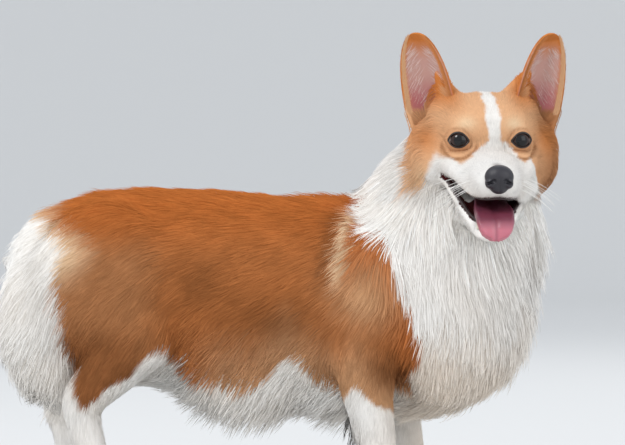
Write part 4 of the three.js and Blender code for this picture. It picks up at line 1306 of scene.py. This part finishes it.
def blade_corners(chosen, bends):
    """The corners of each chosen blade: a ring of three at its root and at each bend, and its tip."""
    p0, p1, p2, up = root[chosen], middle_point[chosen], tip[chosen], normal[chosen]
    wide = (0.42 + 0.009 * length[chosen]) * blade_share[chosen]
    if bends == 0:
        spine = [(p0 - up * 0.7, 1.0), (p2, 0)]
    elif bends == 1:
        spine = [(p0 - up * 0.8, 0.6), (p1, 1.0), (p2, 0)]
    else:
        q1 = 0.56 * p0 + 0.52 * p1 - 0.08 * p2 + up * 0.4
        q2 = -0.08 * p0 + 0.52 * p1 + 0.56 * p2 + up * 0.4
        spine = [(p0 - up * 1.2, 0.6), (q1, 1.0), (q2, 0.8), (p2, 0)]
    rings = []
    for (at, share), (onto, _) in zip(spine, spine[1:]):
        ahead = unit(onto - at)
        across = unit(np.cross(up, ahead))
        half = (wide * share / 2)[:, None]
        rings += [at + across * half, at - across * half, at + np.cross(ahead, across) * half * 0.8]
    return np.stack(rings + [spine[-1][0]], 1)


def blade_faces(bends):
    """The triangles of one blade: its sides ring by ring, its point and its foot."""
    faces = []
    for low in range(0, 3 * bends, 3):
        for i, j in ((0, 1), (1, 2), (2, 0)):
            faces += [(low + j, low + i, low + 3 + i), (low + j, low + 3 + i, low + 3 + j)]
    last, point = 3 * bends, 3 * bends + 3
    faces += [(last + 1, last, point), (last + 2, last + 1, point), (last, last + 2, point), (0, 1, 2)]
    return np.array(faces)


def tufts(name, which, axis, centre):
    """One joined mesh of blades, three-sided, with one or two bends in those that are long."""
    bends_of = np.where(length[which] > 30, 2, np.where(length[which] > 12, 1, 0))
    chart = unwrapped(root[which], axis, centre)
    parts, offset = [], 0
    for bends in (0, 1, 2):
        chosen = which[bends_of == bends]
        if len(chosen) == 0:
            continue
        co, faces = blade_corners(chosen, bends), blade_faces(bends)
        count, per = co.shape[:2]
        # Painted shade: each blade is darker towards its root, as deep in the coat, and paler at its tip
        tone = np.append(np.repeat(np.linspace(0.95, 1.0, bends + 1), 3), 1.06)
        rise = np.append(np.repeat(np.linspace(0, 0.8, bends + 1), 3), 1.0)
        turn = np.append(np.tile([0.0, 1.0, 0.5], bends + 1), 0.5)
        patch = chart[bends_of == bends][:, None, :] + 0.003 * np.stack((turn, rise), 1)[None] - 0.0015
        # Shaded mostly as the hide is, save on undersides and where long hair hangs free low down
        up = normal[chosen]
        hanging = step(length[chosen], 34, 44) * step(-tip[chosen][:, 2], -175, -125)
        free = np.maximum(step(-up[:, 2], 0.0, 0.5), hanging)
        up = unit(np.stack((up[:, 0], up[:, 1], np.maximum(up[:, 2], -0.25)), 1))
        parts.append(
            (
                co.reshape(-1, 3),
                (faces[None] + (np.arange(count) * per)[:, None, None] + offset).reshape(-1, 3),
                np.clip(blade_colour[chosen][:, None, :] * tone[None, :, None], 0, 0.95).reshape(-1, 3),
                patch.reshape(-1, 2),
                np.repeat(up[:, None, :], per, 1).reshape(-1, 3),
                np.repeat(0.86 - 0.62 * free, per),
            )
        )
        offset += count * per
    co, faces, colours, charts, hide_way, hide_share = (np.concatenate(part) for part in zip(*parts))
    mesh = bpy.data.meshes.new(name)
    mesh.vertices.add(len(co))
    mesh.vertices.foreach_set("co", placed(co).ravel())
    mesh.loops.add(faces.size)
    mesh.loops.foreach_set("vertex_index", faces.ravel().astype(np.int32))
    mesh.polygons.add(len(faces))
    mesh.polygons.foreach_set("loop_start", np.arange(0, faces.size, 3, dtype=np.int32))
    mesh.update(calc_edges=True)
    painted(mesh, hair, "hair_colour", colours)
    mesh.uv_layers.new(name="OFBake").data.foreach_set("uv", charts[faces.ravel()].ravel())
    mesh.shade_smooth()
    own = np.empty(len(co) * 3)
    mesh.vertices.foreach_get("normal", own)
    hide_share = hide_share[:, None]
    soft = unit(hide_share * hide_way + (1 - hide_share) * own.reshape(-1, 3))
    mesh.normals_split_custom_set_from_vertices(soft.tolist())
    mesh.materials.append(hair)
    piece = bpy.data.objects.new(name, mesh)
    bpy.context.scene.collection.objects.link(piece)
    # Hair lets the light through, so the tufts throw no hard shadows on one another
    piece.visible_shadow = False
    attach(piece, "root")


hair = surface("hair", (0.6, 0.5, 0.4), 0.8, Specular_IOR_Level=0.0)
x, y, z = root.T
left = y > 0
on_leg = ~of_head & ~of_ear & (z < 118) & (np.abs(y) > 48) & ((x < -120) | ((x > 30) & (x < 125)))
on_trunk = ~of_head & ~of_ear & ~on_leg
skull_middle = from_head((-50, 0, -20))
trunk_middle = (0, 0, 190)
no_end = 1000
groups = [
    ("coat_face", "coat_red", of_head & (head_place[:, 0] > -22), "head", skull_middle),
    ("coat_head_back", "coat_red", of_head & (head_place[:, 0] <= -22), "head", skull_middle),
    ("coat_ears", "coat_red", of_ear, "head", from_head((-56, 0, 60))),
    ("coat_forelegs", "coat_white", on_leg & (x > 0), "z", (75, 0, 60)),
    ("coat_hindlegs", "coat_white", on_leg & (x <= 0), "z", (-210, 0, 60)),
]
# The trunk's coat in lengths from front to back, the large ones in halves
for name, slot_name, rear, front, halves, axis, centre in (
    ("coat_ruff", "coat_white", 98, no_end, True, "z", (120, 0, 200)),
    ("coat_shoulders", "coat_red", 20, 98, False, "x", trunk_middle),
    ("coat_barrel", "coat_red", -105, 20, True, "x", trunk_middle),
    ("coat_loin_and_thighs", "coat_red", -205, -105, False, "x", trunk_middle),
    ("coat_rump", "coat_white", -no_end, -205, True, "x", trunk_middle),
):
    length_of_trunk = on_trunk & (x >= rear) & (x < front)
    for ending, half in (("_right", ~left), ("_left", left)) if halves else (("", True),):
        groups.append((name + ending, slot_name, length_of_trunk & half, axis, centre))
# One tuft in 22 is left out all over, which keeps the coat near 1.5 million triangles
every = np.arange(len(root))
spared = every % 22 != 0
for name, slot_name, mask, axis, centre in groups:
    tufts(name, every[mask & spared], axis, centre)

# The floor and the light.
# A pale floor that curves up into a pale backdrop, under broad soft lamps: the main one high to the left of
# the camera, a weaker one to its right, and a faint one from behind the dog.

floor_size = 20
wall_height = 6
wall_curve = 3
far_edge = floor_size / 2 - 0.1
bpy.ops.mesh.primitive_plane_add(size=floor_size)
floor = bpy.context.object
floor.name = "studio_floor"
edited(bpy.ops.mesh.select_mode, type="EDGE")
edited(bpy.ops.mesh.select_all, action="DESELECT")
for edge in floor.data.edges:
    edge.select = all(floor.data.vertices[k].co.y > far_edge for k in edge.vertices)
edited(bpy.ops.mesh.extrude_region_move, TRANSFORM_OT_translate={"value": (0, 0, wall_height)})
edited(bpy.ops.mesh.select_all, action="DESELECT")
for edge in floor.data.edges:
    ends = [floor.data.vertices[k].co for k in edge.vertices]
    edge.select = all(end.y > far_edge and end.z < 0.1 for end in ends)
edited(bpy.ops.mesh.bevel, offset=wall_curve, segments=16, affect="EDGES")
bpy.ops.object.transform_apply(location=True, rotation=True, scale=True)
dressed(floor, surface("studio_paper", (0.7, 0.7, 0.69), 0.9))
lamp_target = Vector((0, 0, 0.2))
for name, place, power, size in (
    ("key_light", (-1.5, -2.3, 2.7), 58, 1.1),
    ("fill_light", (2.6, -1.8, 1.4), 24, 2.4),
    ("rim_light", (0.4, 2.4, 2.4), 14, 1.8),
):
    bpy.ops.object.light_add(type="AREA", location=place)
    lamp = bpy.context.object
    lamp.name = name
    lamp.data.energy = power
    lamp.data.size = size
    lamp.rotation_euler = (lamp_target - Vector(place)).to_track_quat("-Z", "Y").to_euler()
world = bpy.data.worlds.new("studio")
world.use_nodes = True
sky = world.node_tree.nodes["Background"]
sky.inputs["Color"].default_value = (0.9, 0.94, 1.0, 1)
sky.inputs["Strength"].default_value = 0.95
bpy.context.scene.world = world
bpy.context.scene.view_settings.view_transform = "Standard"
